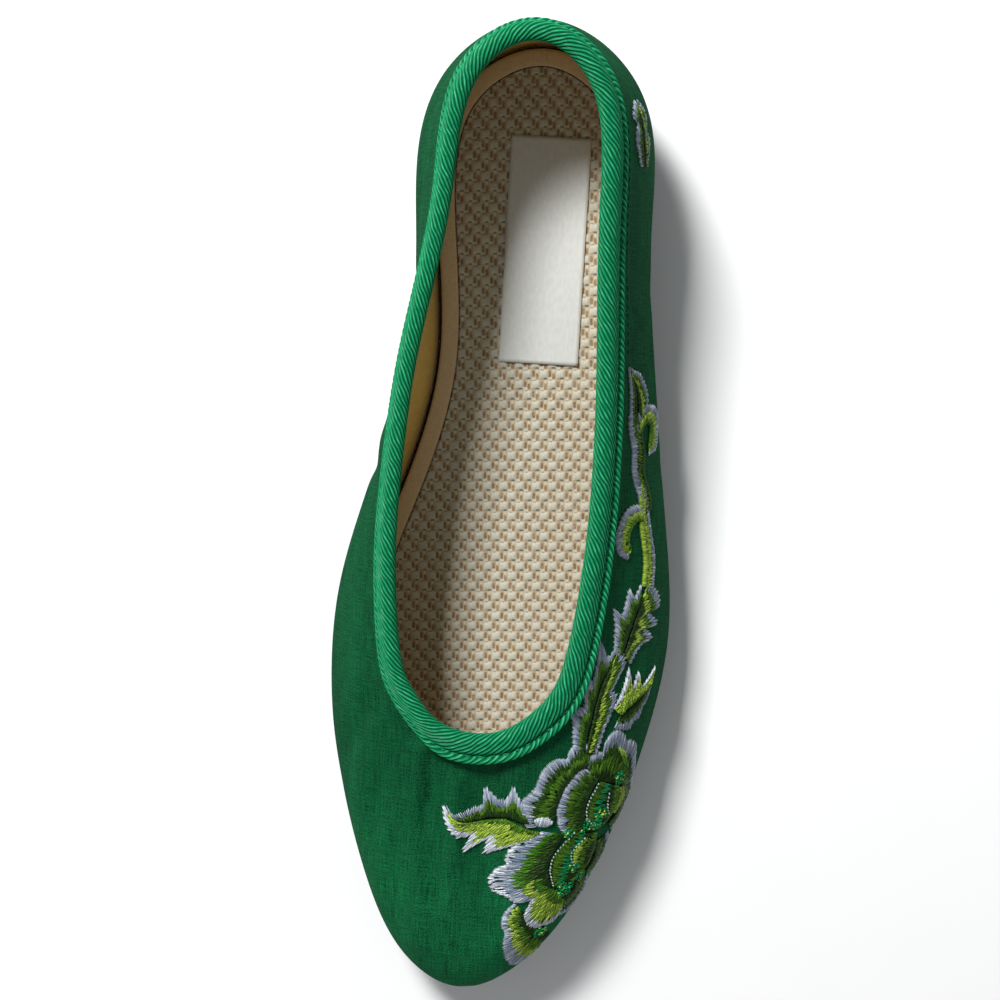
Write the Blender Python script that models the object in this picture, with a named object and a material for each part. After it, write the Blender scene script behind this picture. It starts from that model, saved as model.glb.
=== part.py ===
"""Left shoe of a pair of embroidered silk flats: upper, collar binding, footbed, its bound edge and sole.

The toe points to -Y, the heel to +Y, the outer side of the foot to +X, and the shoe stands on z = 0.
Lengths are in millimetres up to the meshes. A station s is the distance from the back of the heel.
"""

import bpy
import numpy as np

for old in list(bpy.data.objects):
    bpy.data.objects.remove(old, do_unlink=True)

MILLIMETRE = 0.001
SHOE_LENGTH = 250.0
CLEARANCE = 0.3

# Sole, seen from the side
SOLE_HEEL_HEIGHT = 14.5
SOLE_FOREPART_HEIGHT = 5.5
SOLE_TOP_RAMP = (52.0, 150.0)
ARCH_RISE = 3.5
ARCH_SPAN = (62.0, 138.0)
TOE_SPRING = 7.0
TOE_SPRING_START = 200.0
SOLE_EDGE_OUT = 0.4
SOLE_FOOT_IN = 1.4
SOLE_BEVEL_IN = 0.3
SOLE_BEVEL_HEIGHT = 1.2

# Upper
WALL = 1.8
RISE_SHARE = 0.42

# Collar binding: a tape folded over the top edge of the upper
TAPE_THICKNESS = 0.9
TAPE_LEG = 5.2

# Footbed and the tape round its edge
FOOTBED_HEIGHT = 4.2
FOOTBED_INSET = WALL + 0.7
EDGE_TAPE = 0.8
EDGE_TAPE_WIDTH = 4.4
EDGE_TAPE_PROUD = 0.4

# Mesh density
ROUND = 88
ROUND_CROWDING = 0.35
WALL_LEVELS = 13
FINE_LEVELS = 121
CAP_COLUMNS = 5
FOLD_STEPS = 5

# Colours and roughness
SILK = ((0.02, 0.24, 0.09), 0.5)
RIB_TAPE = ((0.03, 0.36, 0.16), 0.4)
WOVEN_TOP = ((0.58, 0.5, 0.38), 0.8)
BEIGE_TAPE = ((0.6, 0.48, 0.32), 0.8)
DARK_RUBBER = ((0.035, 0.034, 0.036), 0.6)

# Sections of the upper from the toe tip along the outer side to the heel and back along the inner side.
# sole_s, sole_x: where the wall stands on the sole; top_s, top_x, top_z: its top edge;
# swell: outward pull low on the wall; slope: fall of the wall below the top edge, degrees; crown: its length.
COLUMNS = ("sole_s", "sole_x", "top_s", "top_x", "top_z", "swell", "slope", "crown")
SECTIONS = {
    "toe tip": (247.8, -0.4, 178.4, -0.6, 45.0, 10.0, 15.0, 36.0),
    "outer toe": (240.5, 13.0, 177.4, 6.0, 45.0, 10.0, 16.0, 35.0),
    "outer toe corner": (225.0, 23.6, 173.8, 12.4, 45.0, 10.0, 21.0, 32.0),
    "outer vamp": (205.0, 32.0, 167.2, 18.8, 45.0, 9.0, 30.0, 27.0),
    "outer ball": (182.0, 39.0, 157.4, 22.8, 45.0, 8.5, 41.0, 22.0),
    "outer joint": (154.0, 43.8, 139.0, 25.2, 45.5, 8.0, 53.0, 18.0),
    "outer waist front": (122.0, 40.2, 116.0, 26.1, 46.5, 7.5, 61.0, 16.0),
    "outer waist": (86.0, 34.2, 84.0, 24.9, 49.0, 7.0, 66.0, 15.0),
    "outer heel": (48.0, 30.0, 46.0, 22.4, 54.0, 6.5, 73.0, 15.0),
    "outer heel back": (16.0, 24.6, 16.8, 17.9, 59.0, 6.5, 77.0, 15.0),
    "heel back": (2.4, 1.8, 5.6, 1.6, 61.0, 6.5, 80.0, 15.0),
    "inner heel back": (16.0, -20.8, 16.8, -14.6, 59.0, 6.5, 77.0, 15.0),
    "inner heel": (48.0, -24.8, 46.0, -19.0, 54.5, 6.0, 73.0, 15.0),
    "inner waist": (86.0, -21.6, 84.0, -24.5, 49.5, 4.0, 70.0, 14.0),
    "inner waist front": (116.0, -27.8, 112.0, -26.3, 47.0, 6.5, 62.0, 16.0),
    "inner joint": (150.0, -36.8, 138.0, -25.8, 45.7, 8.0, 52.0, 18.0),
    "inner ball": (176.0, -35.7, 157.8, -23.0, 45.0, 8.5, 41.0, 22.0),
    "inner vamp": (203.0, -29.4, 167.8, -18.6, 45.0, 9.0, 30.0, 27.0),
    "inner toe corner": (225.0, -21.4, 174.4, -12.8, 45.0, 10.0, 21.0, 32.0),
    "inner toe": (241.0, -13.4, 177.5, -7.0, 45.0, 10.0, 16.0, 35.0),
}
HEEL_ROW = list(SECTIONS).index("heel back")


def smooth_step(start, end, at):
    """0 before start, 1 after end, eased between."""
    share = np.clip((at - start) / (end - start), 0.0, 1.0)
    return share * share * (3.0 - 2.0 * share)


def toe_lift(s):
    """Lift of the toe, growing as the square of the distance past its start."""
    share = np.clip((s - TOE_SPRING_START) / (SHOE_LENGTH - TOE_SPRING_START), 0.0, None)
    return TOE_SPRING * share**2


def sole_top(s):
    """Height of the sole's upper face: level at the heel, sloping down through the waist, lifted at the toe."""
    heel_share = 1.0 - smooth_step(*SOLE_TOP_RAMP, s)
    return SOLE_FOREPART_HEIGHT + (SOLE_HEEL_HEIGHT - SOLE_FOREPART_HEIGHT) * heel_share + toe_lift(s)


def sole_bottom(s):
    """Height of the sole's underside: flat at heel and forepart, hollow at the arch, lifted at the toe."""
    share = np.clip((s - ARCH_SPAN[0]) / (ARCH_SPAN[1] - ARCH_SPAN[0]), 0.0, 1.0)
    return ARCH_RISE * np.sin(np.pi * share) ** 2 + toe_lift(s)


def closed_spline(knots, values, at):
    """Periodic cubic spline over one turn; its second derivatives solve a cyclic linear system."""
    count = len(knots)
    gap = np.diff(np.append(knots, knots[0] + 1.0))
    after = np.roll(np.arange(count), -1)
    before = np.roll(np.arange(count), 1)
    rise = (values[after] - values) / gap
    system = np.diag(2.0 * (gap + gap[before]))
    system[np.arange(count), after] += gap
    system[np.arange(count), before] += gap[before]
    bend = np.linalg.solve(system, 6.0 * (rise - rise[before]))
    k = np.clip(np.searchsorted(knots, at, side="right") - 1, 0, count - 1)
    done = at - knots[k]
    left = gap[k] - done
    sixth = gap[k] / 6.0
    from_here = bend[k] * left**3 / (6.0 * gap[k]) + (values[k] / gap[k] - bend[k] * sixth) * left
    to_next = bend[after[k]] * done**3 / (6.0 * gap[k])
    return from_here + to_next + (values[after[k]] / gap[k] - bend[after[k]] * sixth) * done


def section_knots(table):
    """Share of the way round at each row, by distance along the sole; the heel back is at one half."""
    sole = table[:, :2]
    step = np.linalg.norm(np.roll(sole, -1, 0) - sole, axis=1)
    outer = np.cumsum(step[:HEEL_ROW])
    inner = np.cumsum(step[HEEL_ROW:])
    return np.concatenate([[0.0], 0.5 * outer / outer[-1], 0.5 + 0.5 * inner[:-1] / inner[-1]])


def round_shares():
    """Places round the shoe, the same for every piece, closer together at toe and heel."""
    t = np.linspace(0.0, 1.0, ROUND // 2, endpoint=False)
    half = 0.5 * (t - ROUND_CROWDING * np.sin(2 * np.pi * t) / (2 * np.pi))
    return np.concatenate([half, 0.5 + half])


def plan(s, x):
    """Station and side distance as plan points."""
    return np.stack([x, SHOE_LENGTH / 2 - s], 1)


def station(flat):
    """Station of plan points."""
    return SHOE_LENGTH / 2 - flat[:, 1]


def raised(flat, z):
    """Plan points with a height."""
    return np.concatenate([flat, z[:, None]], 1)


def outward(curve):
    """Unit plan normals of a closed curve that runs from the toe along the outer side, pointing out."""
    along = np.roll(curve, -1, 0) - np.roll(curve, 1, 0)
    normal = np.stack([along[:, 1], -along[:, 0]], 1)
    return normal / np.linalg.norm(normal, axis=1, keepdims=True)


def tangent_frame(grid):
    """Unit outward normals and unit upward tangents of a wall grid (level, round, xyz)."""
    around = np.roll(grid, -1, 1) - np.roll(grid, 1, 1)
    up = np.gradient(grid, axis=0)
    normal = np.cross(around, up)
    normal /= np.linalg.norm(normal, axis=2, keepdims=True)
    return normal, up / np.linalg.norm(up, axis=2, keepdims=True)


def ring_quads(levels, closed):
    """Quads of a grid (level, round) wrapped round the shoe, and from the last level to the first if closed."""
    low, turn = np.meshgrid(np.arange(levels if closed else levels - 1), np.arange(ROUND), indexing="ij")
    high = (low + 1) % levels
    after = (turn + 1) % ROUND
    corners = [low * ROUND + turn, low * ROUND + after, high * ROUND + after, high * ROUND + turn]
    return np.stack(corners, 2).reshape(-1, 4)


def cap(rim, rim_first, height, first):
    """Inner points and upward faces that close a rim with strips from the outer to the inner side."""
    outer = np.arange(1, ROUND // 2)
    inner = ROUND - outer
    share = np.linspace(0.0, 1.0, CAP_COLUMNS + 1)[1:-1, None]
    flat = rim[outer, None, :2] * (1.0 - share) + rim[inner, None, :2] * share
    flat = flat.reshape(-1, 2)
    new = first + np.arange(len(flat)).reshape(len(outer), CAP_COLUMNS - 1)
    rows = np.concatenate([(rim_first + outer)[:, None], new, (rim_first + inner)[:, None]], 1)
    quads = np.stack([rows[:-1, :-1], rows[1:, :-1], rows[1:, 1:], rows[:-1, 1:]], 2).reshape(-1, 4)
    toe = np.full(CAP_COLUMNS, rim_first)
    front = np.stack([toe, rows[0, :-1], rows[0, 1:]], 1)
    back = np.stack([toe + ROUND // 2, rows[-1, 1:], rows[-1, :-1]], 1)
    return raised(flat, height(station(flat))), quads, np.concatenate([front, back])


def add_object(name, points, faces, finish):
    """One closed object with its own material."""
    mesh = bpy.data.meshes.new(name)
    mesh.from_pydata(((points - middle) * MILLIMETRE).tolist(), [], faces)
    mesh.polygons.foreach_set("use_smooth", [True] * len(mesh.polygons))
    material = bpy.data.materials.new(name)
    material.use_nodes = True
    shader = material.node_tree.nodes["Principled BSDF"]
    shader.inputs["Base Color"].default_value = (*finish[0], 1.0)
    shader.inputs["Roughness"].default_value = finish[1]
    shader.inputs["Metallic"].default_value = 0.0
    mesh.materials.append(material)
    bpy.context.scene.collection.objects.link(bpy.data.objects.new(name, mesh))


def ring_body(name, rings, finish):
    """A body swept round the shoe: its section is a closed loop of rings."""
    rings = np.asarray(rings)
    add_object(name, rings.reshape(-1, 3), ring_quads(len(rings), True).tolist(), finish)


def capped_body(name, rings, bottom, top, finish):
    """A body of stacked rims, lowest first, closed below and above at given heights."""
    points = np.concatenate(rings)
    faces = ring_quads(len(rings), False).tolist()
    for rim, height, order in ((0, bottom, -1), (len(rings) - 1, top, 1)):
        new, quads, triangles = cap(rings[rim], rim * ROUND, height, len(points))
        points = np.concatenate([points, new])
        faces += quads[:, ::order].tolist() + triangles[:, ::order].tolist()
    add_object(name, points, faces, finish)


# Foot line, where the upper stands on the sole, and the top edge, both followed round the shoe
table = np.array(list(SECTIONS.values()))
turn = round_shares()
row = {name: closed_spline(section_knots(table), table[:, i], turn) for i, name in enumerate(COLUMNS)}
foot_line = plan(row["sole_s"], row["sole_x"])
foot_out = outward(foot_line)
top_line = plan(row["top_s"], row["top_x"])
top_out = outward(top_line)

# Upper: each section is a cubic curve from the sole to the top edge
foot_z = sole_top(row["sole_s"]) + CLEARANCE
swell_z = foot_z + RISE_SHARE * (row["top_z"] - foot_z)
fall = np.radians(row["slope"])
crown_z = row["top_z"] - row["crown"] * np.sin(fall)
pulls = (
    raised(foot_line, foot_z),
    raised(foot_line + foot_out * row["swell"][:, None], swell_z),
    raised(top_line + top_out * (row["crown"] * np.cos(fall))[:, None], crown_z),
    raised(top_line, row["top_z"]),
)


def wall_grid(levels):
    """Outer face of the upper as a grid (level, round, xyz), from the sole to the top edge."""
    t = np.linspace(0.0, 1.0, levels)[:, None, None]
    shares = ((1 - t) ** 3, 3 * (1 - t) ** 2 * t, 3 * (1 - t) * t**2, t**3)
    return sum(share * pull for share, pull in zip(shares, pulls))


outer_wall = wall_grid(WALL_LEVELS)
wall_normal, wall_up = tangent_frame(outer_wall)
inner_wall = outer_wall - WALL * wall_normal
middle = (outer_wall.max((0, 1)) + outer_wall.min((0, 1))) / 2 * np.array([1.0, 1.0, 0.0])
ring_body("upper", np.concatenate([outer_wall, inner_wall[::-1]]), SILK)

# Collar binding: the tape lies on both faces of the wall and folds round its top edge
fine_wall = wall_grid(FINE_LEVELS)[::-1]
fine_normal, fine_down = tangent_frame(fine_wall)
fine_normal = -fine_normal
depth = np.cumsum(np.linalg.norm(np.diff(fine_wall, axis=0), axis=2), axis=0)


def wall_below(distance):
    """Points and normals of the outer face a distance below the top edge, measured along the wall."""
    k = (depth < distance).sum(0)
    column = np.arange(ROUND)
    step = np.linalg.norm(fine_wall[k + 1, column] - fine_wall[k, column], axis=1)
    share = ((distance - depth[k, column]) / step + 1.0)[:, None]
    point = fine_wall[k, column] * (1 - share) + fine_wall[k + 1, column] * share
    return point, fine_normal[k, column]


def tape_skin(lift, steps):
    """One face of the folded tape, a lift off the upper: outer leg, fold and inner leg."""
    legs = [wall_below(TAPE_LEG), wall_below(TAPE_LEG / 2)]
    outside = [point + normal * lift for point, normal in legs]
    inside = [point - normal * (WALL + lift) for point, normal in reversed(legs)]
    centre = fine_wall[0] - fine_normal[0] * WALL / 2
    radius = WALL / 2 + lift
    angles = np.linspace(0.0, np.pi, steps)
    fold = [centre + radius * (np.cos(a) * fine_normal[0] - np.sin(a) * fine_down[0]) for a in angles]
    return outside + fold + inside


tape_outer = tape_skin(CLEARANCE + TAPE_THICKNESS, FOLD_STEPS)
tape_inner = tape_skin(CLEARANCE, FOLD_STEPS - 2)
ring_body("collar_binding", tape_outer + tape_inner[::-1], RIB_TAPE)

# Footbed: a board with a rebate round its upper edge for the tape
bed_top = CLEARANCE + FOOTBED_HEIGHT
tape_top = bed_top + EDGE_TAPE_PROUD
rebate_top = tape_top - EDGE_TAPE - CLEARANCE


def bed_rim(inward, height):
    """Rim a distance in from the footbed's outer edge and a height over the sole."""
    flat = foot_line - foot_out * (FOOTBED_INSET + inward)
    return raised(flat, sole_top(station(flat)) + height)


capped_body(
    "insole",
    [
        bed_rim(EDGE_TAPE + CLEARANCE, CLEARANCE),
        bed_rim(EDGE_TAPE + CLEARANCE, rebate_top),
        bed_rim(EDGE_TAPE_WIDTH + CLEARANCE, rebate_top),
        bed_rim(EDGE_TAPE_WIDTH + CLEARANCE, bed_top),
    ],
    lambda s: sole_top(s) + CLEARANCE,
    lambda s: sole_top(s) + bed_top,
    WOVEN_TOP,
)

# Bound edge of the footbed: a tape standing at its side and turned over its upper edge
ring_body(
    "insole_binding",
    [
        bed_rim(0.0, CLEARANCE),
        bed_rim(0.0, tape_top),
        bed_rim(EDGE_TAPE_WIDTH, tape_top),
        bed_rim(EDGE_TAPE_WIDTH, tape_top - EDGE_TAPE),
        bed_rim(EDGE_TAPE, tape_top - EDGE_TAPE),
        bed_rim(EDGE_TAPE, CLEARANCE),
    ],
    BEIGE_TAPE,
)


def sole_rim(out, height, lift):
    """Rim of the sole moved out from the foot line, a lift over a height of its own station."""
    flat = foot_line + foot_out * out
    return raised(flat, height(station(flat)) + lift)


# Outsole: one moulded piece with a low heel, a hollow arch and a lifted toe
capped_body(
    "outsole",
    [
        sole_rim(-SOLE_FOOT_IN, sole_bottom, 0.0),
        sole_rim(-SOLE_BEVEL_IN, sole_bottom, SOLE_BEVEL_HEIGHT),
        sole_rim(SOLE_EDGE_OUT, sole_top, 0.0),
    ],
    sole_bottom,
    sole_top,
    DARK_RUBBER,
)
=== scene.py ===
"""Left shoe of a pair of embroidered silk flats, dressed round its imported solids.

The toe points to -Y, the heel to +Y and the outer side of the foot to +X. Sizes are in millimetres up to
the meshes. A turn is a share of the way round the shoe from the toe tip along the outer side, and a rise
is a share of the way up the upper's wall from the sole to the top edge.
"""

import bpy
import numpy as np
from mathutils import Matrix


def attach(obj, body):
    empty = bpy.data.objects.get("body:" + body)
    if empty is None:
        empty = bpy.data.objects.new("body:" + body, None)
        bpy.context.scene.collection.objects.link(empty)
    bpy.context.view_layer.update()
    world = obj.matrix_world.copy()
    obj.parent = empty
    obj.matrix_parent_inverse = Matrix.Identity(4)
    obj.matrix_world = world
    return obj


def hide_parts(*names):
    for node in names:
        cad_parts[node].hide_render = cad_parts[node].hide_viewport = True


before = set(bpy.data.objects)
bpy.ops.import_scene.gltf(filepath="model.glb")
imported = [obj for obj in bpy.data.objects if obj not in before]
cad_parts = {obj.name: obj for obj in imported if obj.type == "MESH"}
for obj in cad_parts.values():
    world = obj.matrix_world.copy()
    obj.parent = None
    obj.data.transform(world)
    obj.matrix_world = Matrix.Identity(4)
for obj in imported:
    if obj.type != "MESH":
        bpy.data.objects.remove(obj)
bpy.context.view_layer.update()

# Outsole: one piece of charcoal rubber, moulded with a low heel, a hollow arch and a lifted toe.
# Its tread is shallow waved ribs under the heel and the ball, and the upper is cemented to its top.
MILLIMETRE = 0.001
SHOE_LENGTH = 250.0
MIDDLE = np.array([2.719, 0.5195])
CLEARANCE = 0.3
COLUMNS = ("sole_s", "sole_x", "top_s", "top_x", "top_z", "swell", "slope", "crown")
SECTIONS = {
    "toe tip": (247.8, -0.4, 178.4, -0.6, 45.0, 10.0, 15.0, 36.0),
    "outer toe": (240.5, 13.0, 177.4, 6.0, 45.0, 10.0, 16.0, 35.0),
    "outer toe corner": (225.0, 23.6, 173.8, 12.4, 45.0, 10.0, 21.0, 32.0),
    "outer vamp": (205.0, 32.0, 167.2, 18.8, 45.0, 9.0, 30.0, 27.0),
    "outer ball": (182.0, 39.0, 157.4, 22.8, 45.0, 8.5, 41.0, 22.0),
    "outer joint": (154.0, 43.8, 139.0, 25.2, 45.5, 8.0, 53.0, 18.0),
    "outer waist front": (122.0, 40.2, 116.0, 26.1, 46.5, 7.5, 61.0, 16.0),
    "outer waist": (86.0, 34.2, 84.0, 24.9, 49.0, 7.0, 66.0, 15.0),
    "outer heel": (48.0, 30.0, 46.0, 22.4, 54.0, 6.5, 73.0, 15.0),
    "outer heel back": (16.0, 24.6, 16.8, 17.9, 59.0, 6.5, 77.0, 15.0),
    "heel back": (2.4, 1.8, 5.6, 1.6, 61.0, 6.5, 80.0, 15.0),
    "inner heel back": (16.0, -20.8, 16.8, -14.6, 59.0, 6.5, 77.0, 15.0),
    "inner heel": (48.0, -24.8, 46.0, -19.0, 54.5, 6.0, 73.0, 15.0),
    "inner waist": (86.0, -21.6, 84.0, -24.5, 49.5, 4.0, 70.0, 14.0),
    "inner waist front": (116.0, -27.8, 112.0, -26.3, 47.0, 6.5, 62.0, 16.0),
    "inner joint": (150.0, -36.8, 138.0, -25.8, 45.7, 8.0, 52.0, 18.0),
    "inner ball": (176.0, -35.7, 157.8, -23.0, 45.0, 8.5, 41.0, 22.0),
    "inner vamp": (203.0, -29.4, 167.8, -18.6, 45.0, 9.0, 30.0, 27.0),
    "inner toe corner": (225.0, -21.4, 174.4, -12.8, 45.0, 10.0, 21.0, 32.0),
    "inner toe": (241.0, -13.4, 177.5, -7.0, 45.0, 10.0, 16.0, 35.0),
}
HEEL_ROW = list(SECTIONS).index("heel back")
HEEL_HEIGHT = 14.5
FOREPART_HEIGHT = 5.5
SOLE_RAMP = (52.0, 150.0)
ARCH_RISE = 3.5
ARCH_SPAN = (62.0, 138.0)
TOE_SPRING = 7.0
TOE_SPRING_START = 200.0


def smooth_step(start, end, at):
    """0 before start, 1 after end, eased between."""
    share = np.clip((at - start) / (end - start), 0.0, 1.0)
    return share * share * (3.0 - 2.0 * share)


def toe_lift(s):
    """Lift of the toe, growing as the square of the distance past its start."""
    share = np.clip((s - TOE_SPRING_START) / (SHOE_LENGTH - TOE_SPRING_START), 0.0, None)
    return TOE_SPRING * share**2


def sole_top(s):
    """Height of the sole's upper face: level at the heel, sloping through the waist, lifted at the toe."""
    heel_share = 1.0 - smooth_step(*SOLE_RAMP, s)
    return FOREPART_HEIGHT + (HEEL_HEIGHT - FOREPART_HEIGHT) * heel_share + toe_lift(s)


def sole_bottom(s):
    """Height of the sole's underside: flat at heel and forepart, hollow at the arch, lifted at the toe."""
    share = np.clip((s - ARCH_SPAN[0]) / (ARCH_SPAN[1] - ARCH_SPAN[0]), 0.0, 1.0)
    return ARCH_RISE * np.sin(np.pi * share) ** 2 + toe_lift(s)


table = np.array(list(SECTIONS.values()))
step = np.linalg.norm(np.roll(table[:, :2], -1, 0) - table[:, :2], axis=1)
outer_way, inner_way = np.cumsum(step[:HEEL_ROW]), np.cumsum(step[HEEL_ROW:])
inner_knots = 0.5 + 0.5 * inner_way[:-1] / inner_way[-1]
knots = np.concatenate([[0.0], 0.5 * outer_way / outer_way[-1], inner_knots])


def follow(column, turn):
    """A column of the sections at any turn: a periodic cubic spline.

    Its bends solve a cyclic linear system.
    """
    values = table[:, COLUMNS.index(column)]
    turn = np.asarray(turn) % 1.0
    row = np.arange(len(knots))
    after, before = np.roll(row, -1), np.roll(row, 1)
    gap = np.diff(np.append(knots, 1.0))
    rate = (values[after] - values) / gap
    system = np.diag(2.0 * (gap + gap[before]))
    system[row, after] += gap
    system[row, before] += gap[before]
    bend = np.linalg.solve(system, 6.0 * (rate - rate[before]))
    k = np.clip(np.searchsorted(knots, turn, side="right") - 1, 0, len(knots) - 1)
    done = turn - knots[k]
    left = gap[k] - done
    curve = (bend[k] * left**3 + bend[after[k]] * done**3) / (6.0 * gap[k])
    here = (values[k] / gap[k] - bend[k] * gap[k] / 6.0) * left
    there = (values[after[k]] / gap[k] - bend[after[k]] * gap[k] / 6.0) * done
    return curve + here + there


def plan_line(edge, turn):
    """Plan points of the sole line or the top edge, about the middle of the shoe."""
    flat = np.stack([follow(edge + "_x", turn), SHOE_LENGTH / 2 - follow(edge + "_s", turn)], -1)
    return flat - MIDDLE


def unit(vectors):
    """Vectors brought to length one."""
    return vectors / np.linalg.norm(vectors, axis=-1, keepdims=True)


def plan_out(edge, turn):
    """Unit plan normals of the sole line or the top edge, square to a short chord, pointing out."""
    along = plan_line(edge, turn + 0.002) - plan_line(edge, turn - 0.002)
    return unit(np.stack([along[..., 1], -along[..., 0]], -1))


def station(flat):
    """Distance of plan points from the back of the heel."""
    return SHOE_LENGTH / 2 - MIDDLE[1] - flat[..., 1]


def raised(flat, z):
    """Plan points with a height."""
    return np.concatenate([flat, np.broadcast_to(z, flat.shape[:-1])[..., None]], -1)


def even_turns(count):
    """Turns from the heel back round to it again, the heel back first."""
    return (0.5 + np.arange(count) / count) % 1.0


def ring_quads(levels, around, closed=False):
    """Quads of a grid (level, turn) wrapped round the shoe. If closed, its last level joins its first."""
    low, turn = np.meshgrid(np.arange(levels if closed else levels - 1), np.arange(around), indexing="ij")
    high, after = (low + 1) % levels, (turn + 1) % around
    corners = [low * around + turn, low * around + after, high * around + after, high * around + turn]
    return np.stack(corners, 2).reshape(-1, 4)


def cap(rim, first_rim, first_new, columns, height):
    """Points and upward faces that close a rim with strips from its outer to its inner side.

    The rim starts at the heel back. The height of an inner point comes from its plan place and its
    distance from the nearer side of the strip.
    """
    around = len(rim)
    inner = np.arange(1, around // 2)
    outer = around - inner
    share = np.linspace(0.0, 1.0, columns + 1)[1:-1, None]
    flat = rim[outer, None, :2] * (1.0 - share) + rim[inner, None, :2] * share
    width = np.linalg.norm(rim[outer, :2] - rim[inner, :2], axis=1)[:, None]
    margin = width * np.minimum(share, 1.0 - share)[:, 0]
    points = raised(flat, height(flat, margin)).reshape(-1, 3)
    new = first_new + np.arange(len(points)).reshape(len(inner), columns - 1)
    rows = np.concatenate([(first_rim + outer)[:, None], new, (first_rim + inner)[:, None]], 1)
    quads = np.stack([rows[1:, :-1], rows[:-1, :-1], rows[:-1, 1:], rows[1:, 1:]], 2).reshape(-1, 4)
    heel = np.full(columns, first_rim)
    back = np.stack([heel, rows[0, 1:], rows[0, :-1]], 1)
    front = np.stack([heel + around // 2, rows[-1, :-1], rows[-1, 1:]], 1)
    return points, quads, np.concatenate([back, front])


def stacked(rings, bottom, top):
    """Points and faces of a body of stacked rims, lowest first.

    Bottom and top each give a cap's columns and its height.
    """
    around = len(rings[0])
    points, faces = np.concatenate(rings), [ring_quads(len(rings), around)]
    for rim, (columns, height), order in ((0, bottom, -1), (len(rings) - 1, top, 1)):
        new, quads, triangles = cap(rings[rim], rim * around, len(points), columns, height)
        points = np.concatenate([points, new])
        faces += [quads[:, ::order], triangles[:, ::order]]
    return points, faces


class Measure:
    """A number that varies over a surface. Sums and products of measures add a step to their finish."""

    def __init__(self, finish, socket):
        self.finish, self.socket = finish, socket

    def step(self, operation, *others):
        node = self.finish.nodes.new("ShaderNodeMath")
        node.operation = operation
        for slot, value in zip(node.inputs, (self, *others)):
            self.finish.feed(slot, value)
        return Measure(self.finish, node.outputs[0])

    def __add__(self, other):
        return self.step("ADD", other)

    def __sub__(self, other):
        return self.step("SUBTRACT", other)

    def __mul__(self, other):
        return self.step("MULTIPLY", other)

    def held(self):
        """Kept between 0 and 1."""
        return self.step("MAXIMUM", 0.0).step("MINIMUM", 1.0)


class Finish:
    """The look of one material: a Principled shader, its plain sockets, and the measures that feed it."""

    def __init__(self, name, rough=0.5, gloss=0.0, coat=(0.0, 0.03), sheen=0.0):
        self.material = bpy.data.materials.new(name)
        self.material.use_nodes = True
        self.nodes = self.material.node_tree.nodes
        self.links = self.material.node_tree.links
        self.shader = self.nodes["Principled BSDF"]
        for socket, value in (
            ("Roughness", rough),
            ("Specular IOR Level", gloss),
            ("Coat Weight", coat[0]),
            ("Coat Roughness", coat[1]),
            ("Sheen Weight", sheen),
        ):
            self.shader.inputs[socket].default_value = value

    def feed(self, slot, value):
        """Link a measure into a slot, or set a plain value there."""
        if isinstance(value, Measure):
            self.links.new(value.socket, slot)
        else:
            slot.default_value = value

    def parts(self, vector, scale):
        """The three parts of a vector, each times a scale."""
        node = self.nodes.new("ShaderNodeSeparateXYZ")
        self.links.new(vector, node.inputs[0])
        return [Measure(self, socket) * scale for socket in node.outputs]

    def shoe_place(self):
        """x, y and z in the shoe's frame, millimetres."""
        return self.parts(self.nodes.new("ShaderNodeTexCoord").outputs["Object"], 1000.0)

    def cloth_place(self):
        """Across and along on the piece's own flat cloth, millimetres."""
        return self.parts(self.nodes.new("ShaderNodeUVMap").outputs[0], 1.0)[:2]

    def carried(self, name, output="Fac"):
        """A number or a colour that the mesh carries."""
        node = self.nodes.new("ShaderNodeAttribute")
        node.attribute_name = name
        return Measure(self, node.outputs[output])

    def cloud(self, across, along, up=0.0, detail=2.0):
        """Soft noise about one unit across, 0 to 1, over three measures."""
        joined = self.nodes.new("ShaderNodeCombineXYZ")
        for slot, value in zip(joined.inputs, (across, along, up)):
            self.feed(slot, value)
        noise = self.nodes.new("ShaderNodeTexNoise")
        noise.inputs["Scale"].default_value = 1.0
        noise.inputs["Detail"].default_value = detail
        self.links.new(joined.outputs[0], noise.inputs["Vector"])
        return Measure(self, noise.outputs["Fac"])

    def shoe_cloud(self, scale, detail=2.0):
        """Soft noise through the shoe's frame, a scale of units to the millimetre."""
        x, y, z = self.shoe_place()
        return self.cloud(x * scale, y * scale, z * scale, detail)

    def between(self, share, low, high):
        """Colour that goes from low to high with a measure."""
        node = self.nodes.new("ShaderNodeMix")
        node.data_type = "RGBA"
        self.links.new(share.held().socket, node.inputs[0])
        for slot, colour in ((node.inputs[6], low), (node.inputs[7], high)):
            self.feed(slot, colour if isinstance(colour, Measure) else (*colour, 1.0))
        return Measure(self, node.outputs[2])

    def paint(self, colour):
        self.links.new(colour.socket, self.shader.inputs["Base Color"])

    def roughen(self, share):
        self.links.new(share.socket, self.shader.inputs["Roughness"])

    def emboss(self, height, depth):
        """Bump of a depth in millimetres."""
        node = self.nodes.new("ShaderNodeBump")
        node.inputs["Strength"].default_value = 1.0
        node.inputs["Distance"].default_value = depth * MILLIMETRE
        self.links.new(height.socket, node.inputs["Height"])
        self.links.new(node.outputs[0], self.shader.inputs["Normal"])


def dye(red, green, blue):
    """Linear colour of an sRGB reading."""
    share = np.array([red, green, blue]) / 255.0
    return tuple(np.where(share <= 0.04045, share / 12.92, ((share + 0.055) / 1.055) ** 2.4).tolist())


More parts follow.
